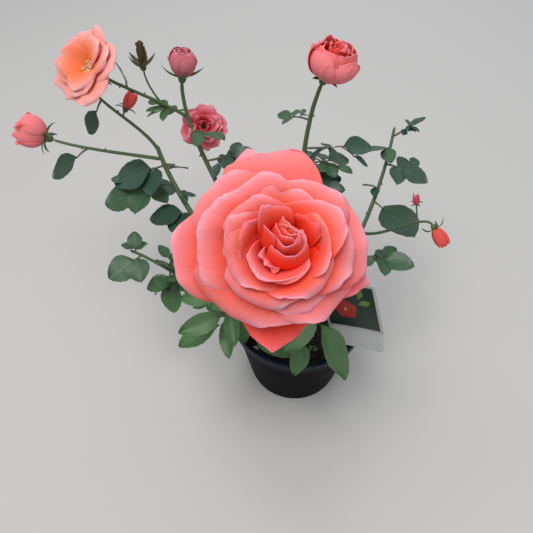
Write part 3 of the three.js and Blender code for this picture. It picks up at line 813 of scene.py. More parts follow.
def turned_piece(name: str, profile: list[Pair], sides: int) -> Piece:
    """Raise a round piece from a circle, ring by ring.

    Args:
        name: the piece's name.
        profile: radius and height of each ring, from the closed foot to the closed end.
        sides: the number of sides.

    Returns:
        The piece, its place in its mesh.
    """
    select_only()
    radius, height = profile[0]
    bpy.ops.mesh.primitive_circle_add(
        vertices=sides, radius=radius * MM, fill_type="TRIFAN", location=(0, 0, height * MM)
    )
    piece = bpy.context.active_object
    piece.name = name
    bpy.ops.object.transform_apply(location=True)
    bpy.ops.object.mode_set(mode="EDIT")
    bm = bmesh.from_edit_mesh(piece.data)
    for vertex in bm.verts:
        vertex.select = vertex.co.xy.length > 0.5 * radius * MM
    bm.select_mode = {"EDGE"}
    for edge in bm.edges:
        edge.select = len(edge.link_faces) == 1
    bm.select_flush_mode()
    bmesh.update_edit_mesh(piece.data)
    for next_radius, next_height in profile[1:]:
        bpy.ops.mesh.extrude_region_move(
            TRANSFORM_OT_translate={"value": (0, 0, (next_height - height) * MM)}
        )
        share = next_radius / radius
        bpy.ops.transform.resize(value=(share, share, 1), center_override=(0, 0, next_height * MM))
        radius, height = next_radius, next_height
    bpy.ops.mesh.edge_face_add()
    bpy.ops.mesh.select_all(action="SELECT")
    bpy.ops.mesh.normals_make_consistent(inside=False)
    bpy.ops.object.mode_set(mode="OBJECT")
    bpy.ops.object.shade_smooth_by_angle(angle=math.radians(CREASE_ANGLE))
    return piece


# The pot, its soil and the label


def inner_radius(height: float) -> float:
    """Return the pot's inner radius at a height."""
    return mix(POT_BASE_RADIUS, POT_RIM_RADIUS - LIP_PROUD, height / POT_HEIGHT) - POT_WALL


@dataclass
class Pot:
    """The round nursery pot with its banded lip and recessed base."""

    sides: int = 96
    finish: PlasticFinish = BLACK_PLASTIC
    lip_reflection_finish: PlasticFinish = LIP_SKY_REFLECTION_PLASTIC

    def profile(self) -> list[Pair]:
        """List the rings from the base's middle out, up and in again.

        Returns:
            The radius and height of each ring.
        """
        outer = [(inner_radius(z) + POT_WALL, z) for z in (8, 30, 60, 90)]
        foot = POT_HEIGHT - LIP_HEIGHT
        wall = inner_radius(foot - 2) + POT_WALL
        lip = [
            (wall, foot - 2),
            (wall + 0.5, foot - 0.8),
            (POT_RIM_RADIUS - 1.6, foot - 0.4),
            (POT_RIM_RADIUS - 1.1, foot + 0.3),
            (POT_RIM_RADIUS - 1.0, foot + 1.2),
            (POT_RIM_RADIUS - 0.7, POT_HEIGHT - 4),
            (POT_RIM_RADIUS - 0.1, POT_HEIGHT - 3.2),
            (POT_RIM_RADIUS, POT_HEIGHT - 1.6),
            (POT_RIM_RADIUS - 0.5, POT_HEIGHT - 0.4),
            (POT_RIM_RADIUS - 1.3, POT_HEIGHT),
            (POT_RIM_RADIUS - 2.6, POT_HEIGHT - 0.1),
            (POT_RIM_RADIUS - 3.4, POT_HEIGHT - 0.9),
            (inner_radius(POT_HEIGHT - 3), POT_HEIGHT - 3),
            (inner_radius(foot), foot),
            (inner_radius(100), 100),
            (inner_radius(POT_FLOOR), POT_FLOOR),
        ]
        base = [
            (20, 1.2),
            (POT_BASE_RADIUS - 9, 1.2),
            (POT_BASE_RADIUS - 8, 0.2),
            (POT_BASE_RADIUS - 7, 0),
            (POT_BASE_RADIUS - 1.5, 0),
            (POT_BASE_RADIUS - 0.3, 0.6),
            (POT_BASE_RADIUS + 0.1, 2.4),
        ]
        return base + outer + lip

    def build(self) -> None:
        """Model the pot and dress it."""
        piece = turned_piece("nursery_pot", self.profile(), self.sides)
        for material in (self.finish.make(), self.lip_reflection_finish.make()):
            piece.data.materials.append(material)
        # Faces from just below the lip up take the lip finish, whose slate blue is a painted sky reflection.
        for face in piece.data.polygons:
            face.material_index = int(face.center.z > (POT_HEIGHT - LIP_HEIGHT - 1) * MM)
        finish_piece(piece, None, "pot_plastic", "pot")


@dataclass
class Soil:
    """The soil: an uneven crumbly mound with loose crumbs, a few sprouts and a pale pebble."""

    crumbs: int = 620
    crumb_sizes: Pair = (0.5, 2.4)
    sides: int = 96
    rings: int = 26
    dome: Pair = (1.0, -2.5)
    wall_band: float = 0.15
    stock_room: float = 11.0
    pebble_place: Pair = (-46.0, -46.0)
    pebble_size: Triple = (4.2, 3.2, 2.4)
    tufts: tuple[Pair, ...] = ((-40, -36), (-33, -43), (-4, -52), (8, -50), (16, -47), (-20, -50), (30, -30))
    tuft_spread: float = 2.5
    seedlings: int = 4
    finish: SoilFinish = POTTING_MIX

    def height(self, x: float, y: float) -> float:
        """Work out the height of the soil's top at a place.

        Args:
            x: the place from left to right.
            y: the place from front to back.

        Returns:
            The height in millimetres.
        """
        edge = inner_radius(SOIL_LEVEL) - CLEARANCE
        out = math.hypot(x, y) / edge
        base = SOIL_LEVEL + mix(*self.dome, min(1.0, out) ** 2)
        wave = math.sin(x * 0.21 + 1.3) * math.cos(y * 0.17) + 0.6 * math.sin(x * 0.09 - y * 0.31)
        lumps = noise.noise(Vector((x, y, 0)) * 0.16)
        grains = noise.noise(Vector((x, y, 9)) * 0.55)
        rough = lumps * 2.2 + grains * 1.1
        fading = 1 - max(0.0, out - (1 - self.wall_band)) / self.wall_band
        return base + (1.3 * wave + rough) * fading

    def build(self) -> None:
        """Model the mound, its crumbs, sprouts and pebble."""
        edge = inner_radius(SOIL_LEVEL - 3) - CLEARANCE
        top = [(edge * (1 - k / self.rings), SOIL_LEVEL) for k in range(self.rings)]
        profile = [(20, 4), (inner_radius(4) - 1, 4), (inner_radius(60) - 0.5, 60), (edge, SOIL_LEVEL - 3)]
        piece = turned_piece("soil_mound", profile + top, self.sides)
        for vertex in piece.data.vertices:
            if vertex.co.z > (SOIL_LEVEL - 2) * MM:
                vertex.co.z = self.height(vertex.co.x / MM, vertex.co.y / MM) * MM
        piece.data.shade_smooth()
        finish_piece(piece, self.finish, "potting_soil", "soil")
        self.add_crumbs()
        self.add_pebble()
        self.add_sprouts()

    def add_crumbs(self) -> None:
        """Scatter crumbs of one modelled lump over the mound."""
        select_only()
        bpy.ops.mesh.primitive_ico_sphere_add(subdivisions=1, radius=1)
        base, faces = take_mesh()
        chance = Seeded(71)
        edge = inner_radius(SOIL_LEVEL) - 3
        sheets = Sheets()
        uv = np.zeros((len(base), 2))
        for _ in range(self.crumbs):
            out = edge * math.sqrt(chance.next())
            turn = chance.next() * math.tau
            x, y = out * math.cos(turn), out * math.sin(turn)
            if math.hypot(x, y) < self.stock_room:
                continue
            size = mix(*self.crumb_sizes, chance.next() ** 3)
            shape = base * (1 + 0.35 * np.sin(base[:, [1, 2, 0]] * 5 + turn))
            shape = shape * np.array([size, size * mix(0.6, 1, chance.next()), size * 0.7])
            sheets.add(shape + np.array([x, y, self.height(x, y) + 0.25 * size]), faces, uv)
        finish_piece(sheets.build("soil_crumbs"), LOOSE_CRUMB, "potting_soil")

    def add_pebble(self) -> None:
        """Lay the pale pebble on the mound."""
        select_only()
        bpy.ops.mesh.primitive_ico_sphere_add(subdivisions=3, radius=1)
        pebble = bpy.context.active_object
        pebble.name = "pale_pebble"
        x, y = self.pebble_place
        wide, deep, tall = self.pebble_size
        top = self.height(x, y) + 1.0
        for vertex in pebble.data.vertices:
            p = vertex.co * (1 + 0.18 * noise.noise(vertex.co * 1.6))
            vertex.co = Vector((x + wide * p.x, y + deep * p.y, top + tall * p.z)) * MM
        pebble.data.shade_smooth()
        finish_piece(pebble, PALE_STONE, "potting_soil")

    def add_sprouts(self) -> None:
        """Grow tiny seedlings on the soil near the pot's front."""
        u, v, faces = flat_grid(2, 4)
        chance = Seeded(5)
        sheets = Sheets()
        for cx, cy in self.tufts:
            for _ in range(self.seedlings):
                turn = chance.next() * math.tau
                size = 3.0 + 3.0 * chance.next()
                out = np.array([math.cos(turn), math.sin(turn), 0.0])
                side = np.array([-out[1], out[0], 0.0])
                x, y = cx + chance.spread(self.tuft_spread), cy + chance.spread(self.tuft_spread)
                base = np.array([x, y, self.height(cx, cy) + 0.3])
                wide = 0.36 * size * np.sin(np.pi * v**0.8)
                rise = size * (0.7 * v - 0.25 * v * v)
                shape = base + np.outer(v * size, out) + np.outer(u * wide, side)
                shape[:, 2] += rise + 0.2 * np.abs(u) * wide
                sheets.add(shape, faces, surface_uv(u, v))
        finish_piece(sheets.build("soil_sprouts"), SPROUT_GREEN, "leaf")


@dataclass
class Label:
    """The plant label: a card with a folded lower strip, a tongue and a plain flower picture."""

    corner: Vector = field(default_factory=lambda: Vector((30.8, -43.3, 123.3)))
    along: Vector = field(default_factory=lambda: Vector((0.829, -0.412, 0.378)).normalized())
    up: Vector = field(default_factory=lambda: Vector((-0.266, 0.301, 0.915)).normalized())
    width: float = 60.0
    picture: float = 60.0
    strip: float = 18.7
    fold: float = 28.4
    taper: float = 14.0
    thickness: float = 0.7
    border: float = 3.0
    round_off: float = 1.2
    bevel: float = 0.12
    crease: float = 30.0
    tongue: Pair = (2.2, 4.4)
    tongue_half: float = 0.32
    tongue_sunk: float = 12.0
    hollow: float = 0.0012
    print_lift: float = 0.08
    flower: Pair = (24.0, 26.0)

    def place(self, s: float, t: float, lift: float = 0.0) -> Vector:
        """Return a place on the card.

        Args:
            s: the distance along the card.
            t: the distance up from the fold, or down where it is negative.
            lift: the distance in front of the card.

        Returns:
            The place in millimetres.
        """
        face = self.along.cross(self.up).normalized()
        angle = math.radians(self.fold)
        down = -self.up * math.cos(angle) + face * math.sin(angle)
        fold = self.corner - down * self.strip
        height = lift + self.hollow * (s - self.width / 2) ** 2
        if t >= 0:
            return fold + self.along * s + self.up * t + face * height
        normal = self.along.cross(-down).normalized()
        return fold + self.along * s + down * -t + normal * height

    def sheet(
        self, name: str, rows: list[Triple], lift: float, across: int = 10
    ) -> Piece:
        """Make a sheet on the card from rows of height, left and right ends.

        Args:
            name: the piece's name.
            rows: height, left end and right end of each row.
            lift: the distance in front of the card.
            across: the number of cells across.

        Returns:
            The sheet.
        """
        u, v, faces = flat_grid(across, len(rows) - 1)
        table = np.array(rows)[np.round(v * (len(rows) - 1)).astype(int)]
        s = table[:, 1] + (table[:, 2] - table[:, 1]) * (u + 1) / 2
        shape = np.array([self.place(a, b, lift)[:] for a, b in zip(s, table[:, 0])])
        sheets = Sheets()
        sheets.add(shape, faces, surface_uv(u, v))
        return sheets.build(name)

    def build(self) -> None:
        """Model the card, its tongue, its picture and the flower on it."""
        rows = [(-self.strip, self.taper, self.width)]
        rows += [(-self.strip * (1 - k / 4), self.taper * (1 - k / 4), self.width) for k in range(1, 4)]
        rows += [(-0.01, 0.0, self.width), (0.5, 0.0, self.width)]
        rows += [(self.picture * k / 8, 0.0, self.width) for k in range(1, 8)]
        for height, cut in ((self.picture - 0.3, self.round_off * 0.5), (self.picture, self.round_off * 1.4)):
            rows.append((height, cut, self.width - cut))
        card = self.sheet("label_card", rows, 0.0, 14)
        apply_modifier(card, "SOLIDIFY", thickness=self.thickness * MM, offset=0)
        apply_modifier(card, "BEVEL", width=self.bevel * MM, segments=2, limit_method="ANGLE")
        card.data.shade_smooth()
        bpy.ops.object.shade_smooth_by_angle(angle=math.radians(self.crease))
        # The white card is given a mid grey, painted shade.
        white = PrintFinish("label_white_painted_shade", (0.44, 0.45, 0.45), mottle=0.06)
        finish_piece(card, white, "label_card", "plant_label")
        self.add_tongue()
        edge = self.border
        lift = self.thickness / 2 + self.print_lift
        rows = [(edge + (self.picture - 2 * edge) * k / 8, edge, self.width - edge) for k in range(9)]
        green = PrintFinish("picture_green", (0.012, 0.030, 0.018), mottle=0.5)
        finish_piece(self.sheet("label_picture", rows, lift), green, "label_card")
        self.add_flower(lift + self.print_lift)

    def add_tongue(self) -> None:
        """Model the pointed tongue that is pushed into the soil."""
        level = Vector((self.along.x, self.along.y, 0)).normalized()
        across = Vector((level.y, -level.x, 0))
        foot = self.place(5.0, 0.5)
        select_only()
        bpy.ops.mesh.primitive_cube_add(size=2)
        piece = bpy.context.active_object
        piece.name = "label_tongue"
        bpy.ops.object.mode_set(mode="EDIT")
        bpy.ops.mesh.bevel(offset=0.12, segments=2)
        bpy.ops.object.mode_set(mode="OBJECT")
        for vertex in piece.data.vertices:
            x, y, z = vertex.co
            half = mix(*self.tongue, (z + 1) / 2)
            low, high = SOIL_LEVEL - self.tongue_sunk, foot.z + (x + 1) * 0.9
            spot = foot + level * (x * half) + across * (y * self.tongue_half)
            vertex.co = Vector((spot.x, spot.y, mix(low, high, (z + 1) / 2))) * MM
        # The white tongue is given a mid grey, painted shade.
        white = PrintFinish("tongue_white_painted_shade", (0.42, 0.43, 0.43), mottle=0.08)
        finish_piece(piece, white, "label_card")

    def add_flower(self, lift: float) -> None:
        """Print a plain flower of five petals with two leaves on the picture.

        Args:
            lift: the distance in front of the card.
        """
        u, v, faces = flat_grid(4, 6)
        s, t = self.flower
        petals = [(s, t, 72 * k + 20, 12.5, 7.6, 0.0) for k in range(5)]
        petals += [(s, t, 72 * k + 56, 8.0, 5.0, 0.06) for k in range(5)]
        leaves = [(40, 40, 70, 14, 3.2, 0.0), (38, 34, 20, 15, 3.6, 0.0), (12, 42, 120, 12, 3.0, 0.0)]
        heart = [(s, t, 120 * k, 2.2, 1.2, 0.12) for k in range(3)]
        kinds = [
            ("picture_petals", PrintFinish("print_red", (0.42, 0.022, 0.018), mottle=0.45), petals),
            ("picture_leaves", PrintFinish("print_leaf", (0.14, 0.22, 0.04), mottle=0.4), leaves),
            ("picture_heart", PrintFinish("print_yellow", (0.60, 0.42, 0.06), mottle=0.3), heart),
        ]
        for name, finish, shapes in kinds:
            sheets = Sheets()
            for s, t, turn, length, half, extra in shapes:
                angle = math.radians(turn)
                wide = half * np.sin(np.pi * np.clip(v, 0.02, 0.98) ** 1.3)
                a = s + length * v * math.cos(angle) - u * wide * math.sin(angle)
                b = t + length * v * math.sin(angle) + u * wide * math.cos(angle)
                shape = np.array([self.place(i, j, lift + extra)[:] for i, j in zip(a, b)])
                sheets.add(shape, faces, surface_uv(u, v))
            finish_piece(sheets.build(name), finish, "label_card")


# Blooms


@dataclass(frozen=True)
class Tier:
    """How the petals of one ring rise: handles of the middle line and the wrap round the axis."""

    low: Pair
    high: Pair
    wrap: float


class Ring(Enum):
    """The rings of petals, from the outside in."""

    GUARD = Tier((0.22, 1.3), (0.75, 1.9), 0.55)
    OUTER = Tier((0.2, 0.8), (0.72, 1.35), 0.75)
    MIDDLE = Tier((0.25, 0.6), (0.75, 1.2), 0.9)
    INNER = Tier((0.5, 0.45), (0.8, 1.12), 1.0)
    CORE = Tier((1.0, 0.4), (1.1, 1.05), 1.0)
    CUP = Tier((1.45, 0.1), (1.7, 0.8), 1.0)
    GLOBE = Tier((2.3, 0.15), (2.7, 0.85), 1.0)
    FOLD = Tier((1.9, 0.15), (2.1, 0.85), 0.72)


# A petal's width: its claw's share of the full width, and how far along the petal is full.
CLAW_WIDTH = 0.14
FULL_WIDTH = 0.62

# The ripples of a petal: height, waves across, turn, slant along the petal and how late they rise.
RIPPLES = (
    (1.0, 4.2, 1.0, 0.0, 3),
    (0.35, 9.5, 0.37, 0.0, 5),
    (0.12, 21.0, 1.11, 0.0, 9),
    (0.5, 5.3, 0.37, 2.0, 1.5),
    (0.2, 11.0, 0.74, 0.0, 2),
)


@dataclass(frozen=True)
class Petal:
    """One petal: where its rim is, how wide it is and how its edges move."""

    ring: Ring
    turn: float
    reach: float
    rise: float
    half: float
    roll: float = 4.0
    point: float = 0.0
    ruffle: float = 1.0
    twist: float = 2.5
    curl: float = 1.5
    rim: float = 0.1
    top: float = 0.34
    outline: tuple[float, ...] = (0.85, 0.98, 1.0, 0.98, 0.85)
    nick: float = 1.0
    shift: Pair = (0.0, 0.0)
    # The petal's tone is painted light and shade: below 0 paler as painted sheen, above 0 deeper as painted
    # shade, above 1 towards the painted shadow colour.
    tone: float = 0.0

    def shape(self, u: np.ndarray, v: np.ndarray, seat: float) -> np.ndarray:
        """Lay the petal's sheet in its bloom's own frame, whose axis is Z.

        Args:
            u: places across, from -1 to 1.
            v: places along, from 0 to 1.
            seat: the radius of the receptacle.

        Returns:
            The points in millimetres.
        """
        tier = self.ring.value
        turn = math.radians(self.turn)
        phase = self.turn * 0.37
        edge_line = np.polyval(np.polyfit(np.linspace(-1, 1, 5), self.outline, 4), u)
        nicks = 0.008 * np.sin(13 * u + phase) + 0.006 * np.sin(27 * u + 2 * phase)
        share = v * (1 + (edge_line - 1) * v**2) + self.nick * nicks * v**8
        a = np.array([[seat], [0.0]])
        b = np.array([[tier.low[0] * self.reach], [tier.low[1] * self.rise]])
        c = np.array([[tier.high[0] * self.reach], [tier.high[1] * self.rise]])
        d = np.array([[self.reach], [self.rise]])
        t, r = share, 1 - share
        centre = a * r**3 + 3 * b * r * r * t + 3 * c * r * t * t + d * t**3
        rising = (b - a) * r * r + 2 * (c - b) * r * t + (d - c) * t * t
        rising = rising / np.maximum(np.linalg.norm(rising, axis=0), 1e-6)
        widening = CLAW_WIDTH + (1 - CLAW_WIDTH) * np.sin(np.pi / 2 * v / FULL_WIDTH)
        closing = 1 - self.top * ((v - FULL_WIDTH) / (1 - FULL_WIDTH)) ** 2
        lateral = u * self.half * np.where(v < FULL_WIDTH, widening, closing)
        radius = np.maximum(centre[0], 1) / tier.wrap
        out = centre[0] - radius * (1 - np.cos(lateral / radius))
        aside = -radius * np.sin(lateral / radius)
        edge = np.clip((np.abs(u) - 0.5) / 0.5, 0, 1)
        lift = self.twist * u * v - self.roll * edge**2 * v
        for high, waves, on, slant, late in RIPPLES:
            lift = lift + high * self.ruffle * np.sin(u * waves + on * self.turn + slant * v) * v**late
        bend = self.curl * (1 + 0.25 * np.sin(2.2 * u + phase))
        past = np.clip((share - 1 + self.rim) / self.rim, 0, 1.2)
        size = self.rim * math.hypot(self.reach, self.rise)
        forth = size * (np.sin(bend * past) - past)
        lift = lift - size * (1 - np.cos(bend * past))
        tip = self.point * (1 - np.abs(u)) * v**4 + forth
        out = out - rising[1] * lift + rising[0] * tip
        height = centre[1] + rising[0] * lift + rising[1] * tip
        x = out * math.cos(turn) - aside * math.sin(turn) + self.shift[0] * v
        y = out * math.sin(turn) + aside * math.cos(turn) + self.shift[1] * v
        return np.stack([x, y, height], 1)


# How far the petals of a ring stray from their even places and sizes.
TURN_SPREAD = 9.0
REACH_SPREAD = 0.07
RISE_SPREAD = 0.05


def ring_petals(
    ring: Ring,
    count: int,
    reach: float,
    rise: float,
    half: float,
    chance: Seeded,
    start: float = 0.0,
    **more: float,
) -> list[Petal]:
    """Deal out one ring of petals.

    Args:
        ring: the ring.
        count: the number of petals.
        reach: the distance of their rims from the axis.
        rise: the height of their rims.
        half: half their width.
        chance: the row of numbers that varies them.
        start: the turn of the first.
        more: the other values of each petal.

    Returns:
        The petals.
    """
    petals = []
    for k in range(count):
        turn = start + 360 / count * k + chance.spread(TURN_SPREAD)
        far = reach * (1 + chance.spread(REACH_SPREAD))
        high = rise * (1 + chance.spread(RISE_SPREAD))
        petals.append(Petal(ring, turn, far, high, half, **more))
    return petals


# The room that leaves keep from a bloom, at its sides, over it and under its hip.
ROOM_ASIDE = 4.0
ROOM_OVER = 5.0
ROOM_UNDER = 2.0

# How much closer the rows of a petal's mesh lie at its rim, and the sizes of sepals and stamens.
RIM_CROWDING = 1.4
SEPAL_THICKNESS = 0.3
POLLEN_RADIUS = 0.8
POLE_RADIUS = 0.02


@dataclass
class Bloom:
    """One bloom or bud: its petals, its hip and its sepals."""

    name: str
    place: Triple
    faces: Triple
    finish: PetalFinish
    slot: str
    hip: float
    hip_length: float
    stem: float
    sepal: float
    sepal_drop: float
    sepal_turn: float
    petals: list[Petal]
    seat: float = 2.2
    cells: tuple[int, int] = (14, 16)
    thickness: float = 0.45
    stamens: int = 0
    host: str = ""
    share: float = 0.0
    sepal_finish: BarkFinish = CALYX_SKIN
    sepal_width: float = 0.2

    def axes(self) -> np.ndarray:
        """Work out the bloom's own axes.

        Returns:
            The three axes as the rows of a matrix.
        """
        face = Vector(self.faces).normalized()
        right = (Vector((1, 0, 0)) - face * face.x).normalized()
        return np.array([right[:], face.cross(right)[:], face[:]])

    def settle(self, points: np.ndarray) -> np.ndarray:
        """Move points from the bloom's frame to the plant's."""
        return points @ self.axes() + np.array(self.place)

    def holds(self, place: Vector) -> bool:
        """Tell whether a place lies inside the bloom's room.

        Args:
            place: the place.

        Returns:
            Whether a leaf there would touch the bloom.
        """
        way = place - Vector(self.place)
        height = float(self.axes()[2] @ np.array(way[:]))
        wide = max(p.reach * max(1.0, p.ring.value.high[0]) for p in self.petals) + ROOM_ASIDE
        tall = max(p.rise for p in self.petals) + ROOM_OVER
        aside = math.sqrt(max(way.length**2 - height**2, 0))
        return -self.hip_length - ROOM_UNDER < height < tall and aside < wide

    def build(self, limbs: dict[str, Curve]) -> None:
        """Model the petals, the calyx and the footstalk, and dress them.

        Args:
            limbs: the curves of the limbs by name.
        """
        u, even, faces = flat_grid(*self.cells)
        v = 1 - (1 - even) ** RIM_CROWDING
        sheets = Sheets()
        for petal in self.petals:
            shape = self.settle(petal.shape(u, v, self.seat))
            sheets.add(shape, faces, surface_uv(u, v), petal.tone)
        piece = sheets.build(f"{self.name}_petals")
        for material in self.finish.make():
            piece.data.materials.append(material)
        apply_modifier(
            piece, "SOLIDIFY", thickness=self.thickness * MM, offset=0, use_rim=True, material_offset=1
        )
        piece.data.shade_smooth()
        finish_piece(piece, None, self.slot, self.name)
        self.add_calyx(limbs)
        if self.stamens:
            self.add_stamens()

    def add_calyx(self, limbs: dict[str, Curve]) -> None:
        """Model the hip, five sepals and the footstalk of a bloom that leaves a limb's side.

        Args:
            limbs: the curves of the limbs by name.
        """
        sheets = Sheets()
        u, v, faces = flat_grid(12, 10)
        turn = u * math.pi
        hip, drop = self.hip, self.hip_length
        shares = (0.0, 0.02, 0.3, 0.6, 0.85, 0.97, 1.0)
        neck = mix(self.stem, hip, 0.7)
        radii = (POLE_RADIUS, self.stem, neck, hip, hip * 0.9, hip * 0.75, POLE_RADIUS)
        radius = np.interp(v, shares, radii)
        tube = np.stack([-radius * np.cos(turn), radius * np.sin(turn), -drop + (drop + 0.8) * v], 1)
        sheets.add(self.settle(tube), faces, surface_uv(u, v))
        leaves = Sheets()
        u, v, faces = flat_grid(4, 10)
        swelling = np.sin(np.pi * np.clip(v * 0.94 + 0.12, 0, 1)) ** 0.8
        wide = 0.3 + 0.5 * self.sepal_width * self.sepal * swelling
        for k in range(5):
            angle = math.radians(72 * k + self.sepal_turn)
            away = Vector((math.cos(angle), math.sin(angle), 0))
            long = self.sepal * (1.0 if k % 2 else 0.86)
            curve = Curve((
                away * hip * 0.5 - SKY,
                away * (hip + long * 0.45) + SKY * 1.5,
                away * (hip + long * 0.8) - SKY * long * self.sepal_drop,
            ))
            across = np.array([-away.y, away.x, 0.0])
            spots = np.array([curve.at(t)[:] for t in v])
            normal = np.array([Vector(across).cross(curve.along(t)).normalized()[:] for t in v])
            lobes = 1 + 0.16 * np.sin(v * 26 + k)
            fold = (0.5 * np.abs(u) * wide)[:, None]
            shape = spots + np.outer(u * wide * lobes, across) - normal * fold
            leaves.add(self.settle(shape), faces, surface_uv(u, v))
        if self.host:
            self.add_footstalk(sheets, limbs[self.host])
        piece = sheets.build(f"{self.name}_calyx")
        close_seams(piece)
        sepals = leaves.build(f"{self.name}_sepals")
        apply_modifier(sepals, "SOLIDIFY", thickness=SEPAL_THICKNESS * MM, offset=0)
        join_pieces(piece, sepals)
        piece.data.shade_smooth()
        finish_piece(piece, self.sepal_finish, "cane")

    def add_footstalk(self, sheets: Sheets, limb: Curve) -> None:
        """Model the stalk from a limb's side to the hip.

        Args:
            sheets: the mesh that the stalk joins.
            limb: the limb's curve.
        """
        face = Vector(self.faces).normalized()
        foot = limb.at(self.share)
        top = Vector(self.place) - face * self.hip_length * 0.8
        knee = top - face * ((foot - top).length * 0.4)
        line = Curve((foot, knee, top))
        add_tube(sheets, line, self.stem * 1.1, self.stem * 0.9, sides=8, steps=14)

    def add_stamens(self) -> None:
        """Model the tuft of stamens at the heart of an open bloom."""
        chance = Seeded(33)
        threads, heads = Sheets(), Sheets()
        u, v, faces = flat_grid(6, 4)
        lon, lat = u * math.pi, (v - 0.5) * math.pi
        ball = np.stack([-np.cos(lat) * np.cos(lon), np.cos(lat) * np.sin(lon), np.sin(lat)], 1)
        for _ in range(self.stamens):
            turn = chance.next() * math.tau
            lean = 1.2 + 5.2 * math.sqrt(chance.next())
            away = Vector((math.cos(turn), math.sin(turn), 0))
            foot = away * 1.4 + SKY * 1.0
            top = away * lean + SKY * (8.5 + chance.spread(1.2))
            knee = away * lean * 0.4 + SKY * 5
            line = [Vector(self.settle(np.array(p[:])[None])[0]) for p in (foot, knee, top)]
            add_tube(threads, Curve(tuple(line)), thick=0.14, thin=0.12, sides=4, steps=3)
            heads.add(ball * POLLEN_RADIUS + np.array(line[2][:]), faces, surface_uv(u, v))
        thread_skin = PrintFinish("stamen_thread", (0.75, 0.55, 0.20), mottle=0.2, rough=0.6)
        head_skin = PrintFinish("pollen_head", (0.78, 0.66, 0.42), mottle=0.25, rough=0.8)
        for sheets, kind, skin in ((threads, "stamens", thread_skin), (heads, "pollen", head_skin)):
            piece = sheets.build(f"{self.name}_{kind}")
            close_seams(piece)
            finish_piece(piece, skin, self.slot)


def add_tube(
    sheets: Sheets, curve: Curve, thick: float, thin: float, sides: int, steps: int, relief: float = 0.0
) -> None:
    """Add a round tapering tube along a curve, with closed ends.

    Args:
        sheets: the mesh that the tube joins.
        curve: its middle line.
        thick: its radius at the start.
        thin: its radius at the end.
        sides: its number of sides.
        steps: its number of steps.
        relief: the height of the swellings on it.
    """
    u, v, faces = flat_grid(sides, steps)
    turn = u * math.pi
    shares, rows = np.unique(np.round(v, 6), return_inverse=True)
    frames = np.array([[axis[:] for axis in curve.frame(float(share))] for share in shares])
    place, side, up = frames[rows].transpose(1, 0, 2)
    swelling = np.sin(v * 47 + turn) + 0.7 * np.sin(v * 21 - 2 * turn) + 0.6 * np.sin(5 * turn + v * 9)
    radius = thick + (thin - thick) * v**TAPER + 0.4 * relief * swelling
    radius = np.where((rows == 0) | (rows == len(shares) - 1), POLE_RADIUS, radius)
    shape = place + side * (np.cos(turn) * radius)[:, None] - up * (np.sin(turn) * radius)[:, None]
    sheets.add(shape, faces, surface_uv(u, v * (thick + 20)))


G, O, M, I = Ring.GUARD, Ring.OUTER, Ring.MIDDLE, Ring.INNER
C, U, B, F = Ring.CORE, Ring.CUP, Ring.GLOBE, Ring.FOLD

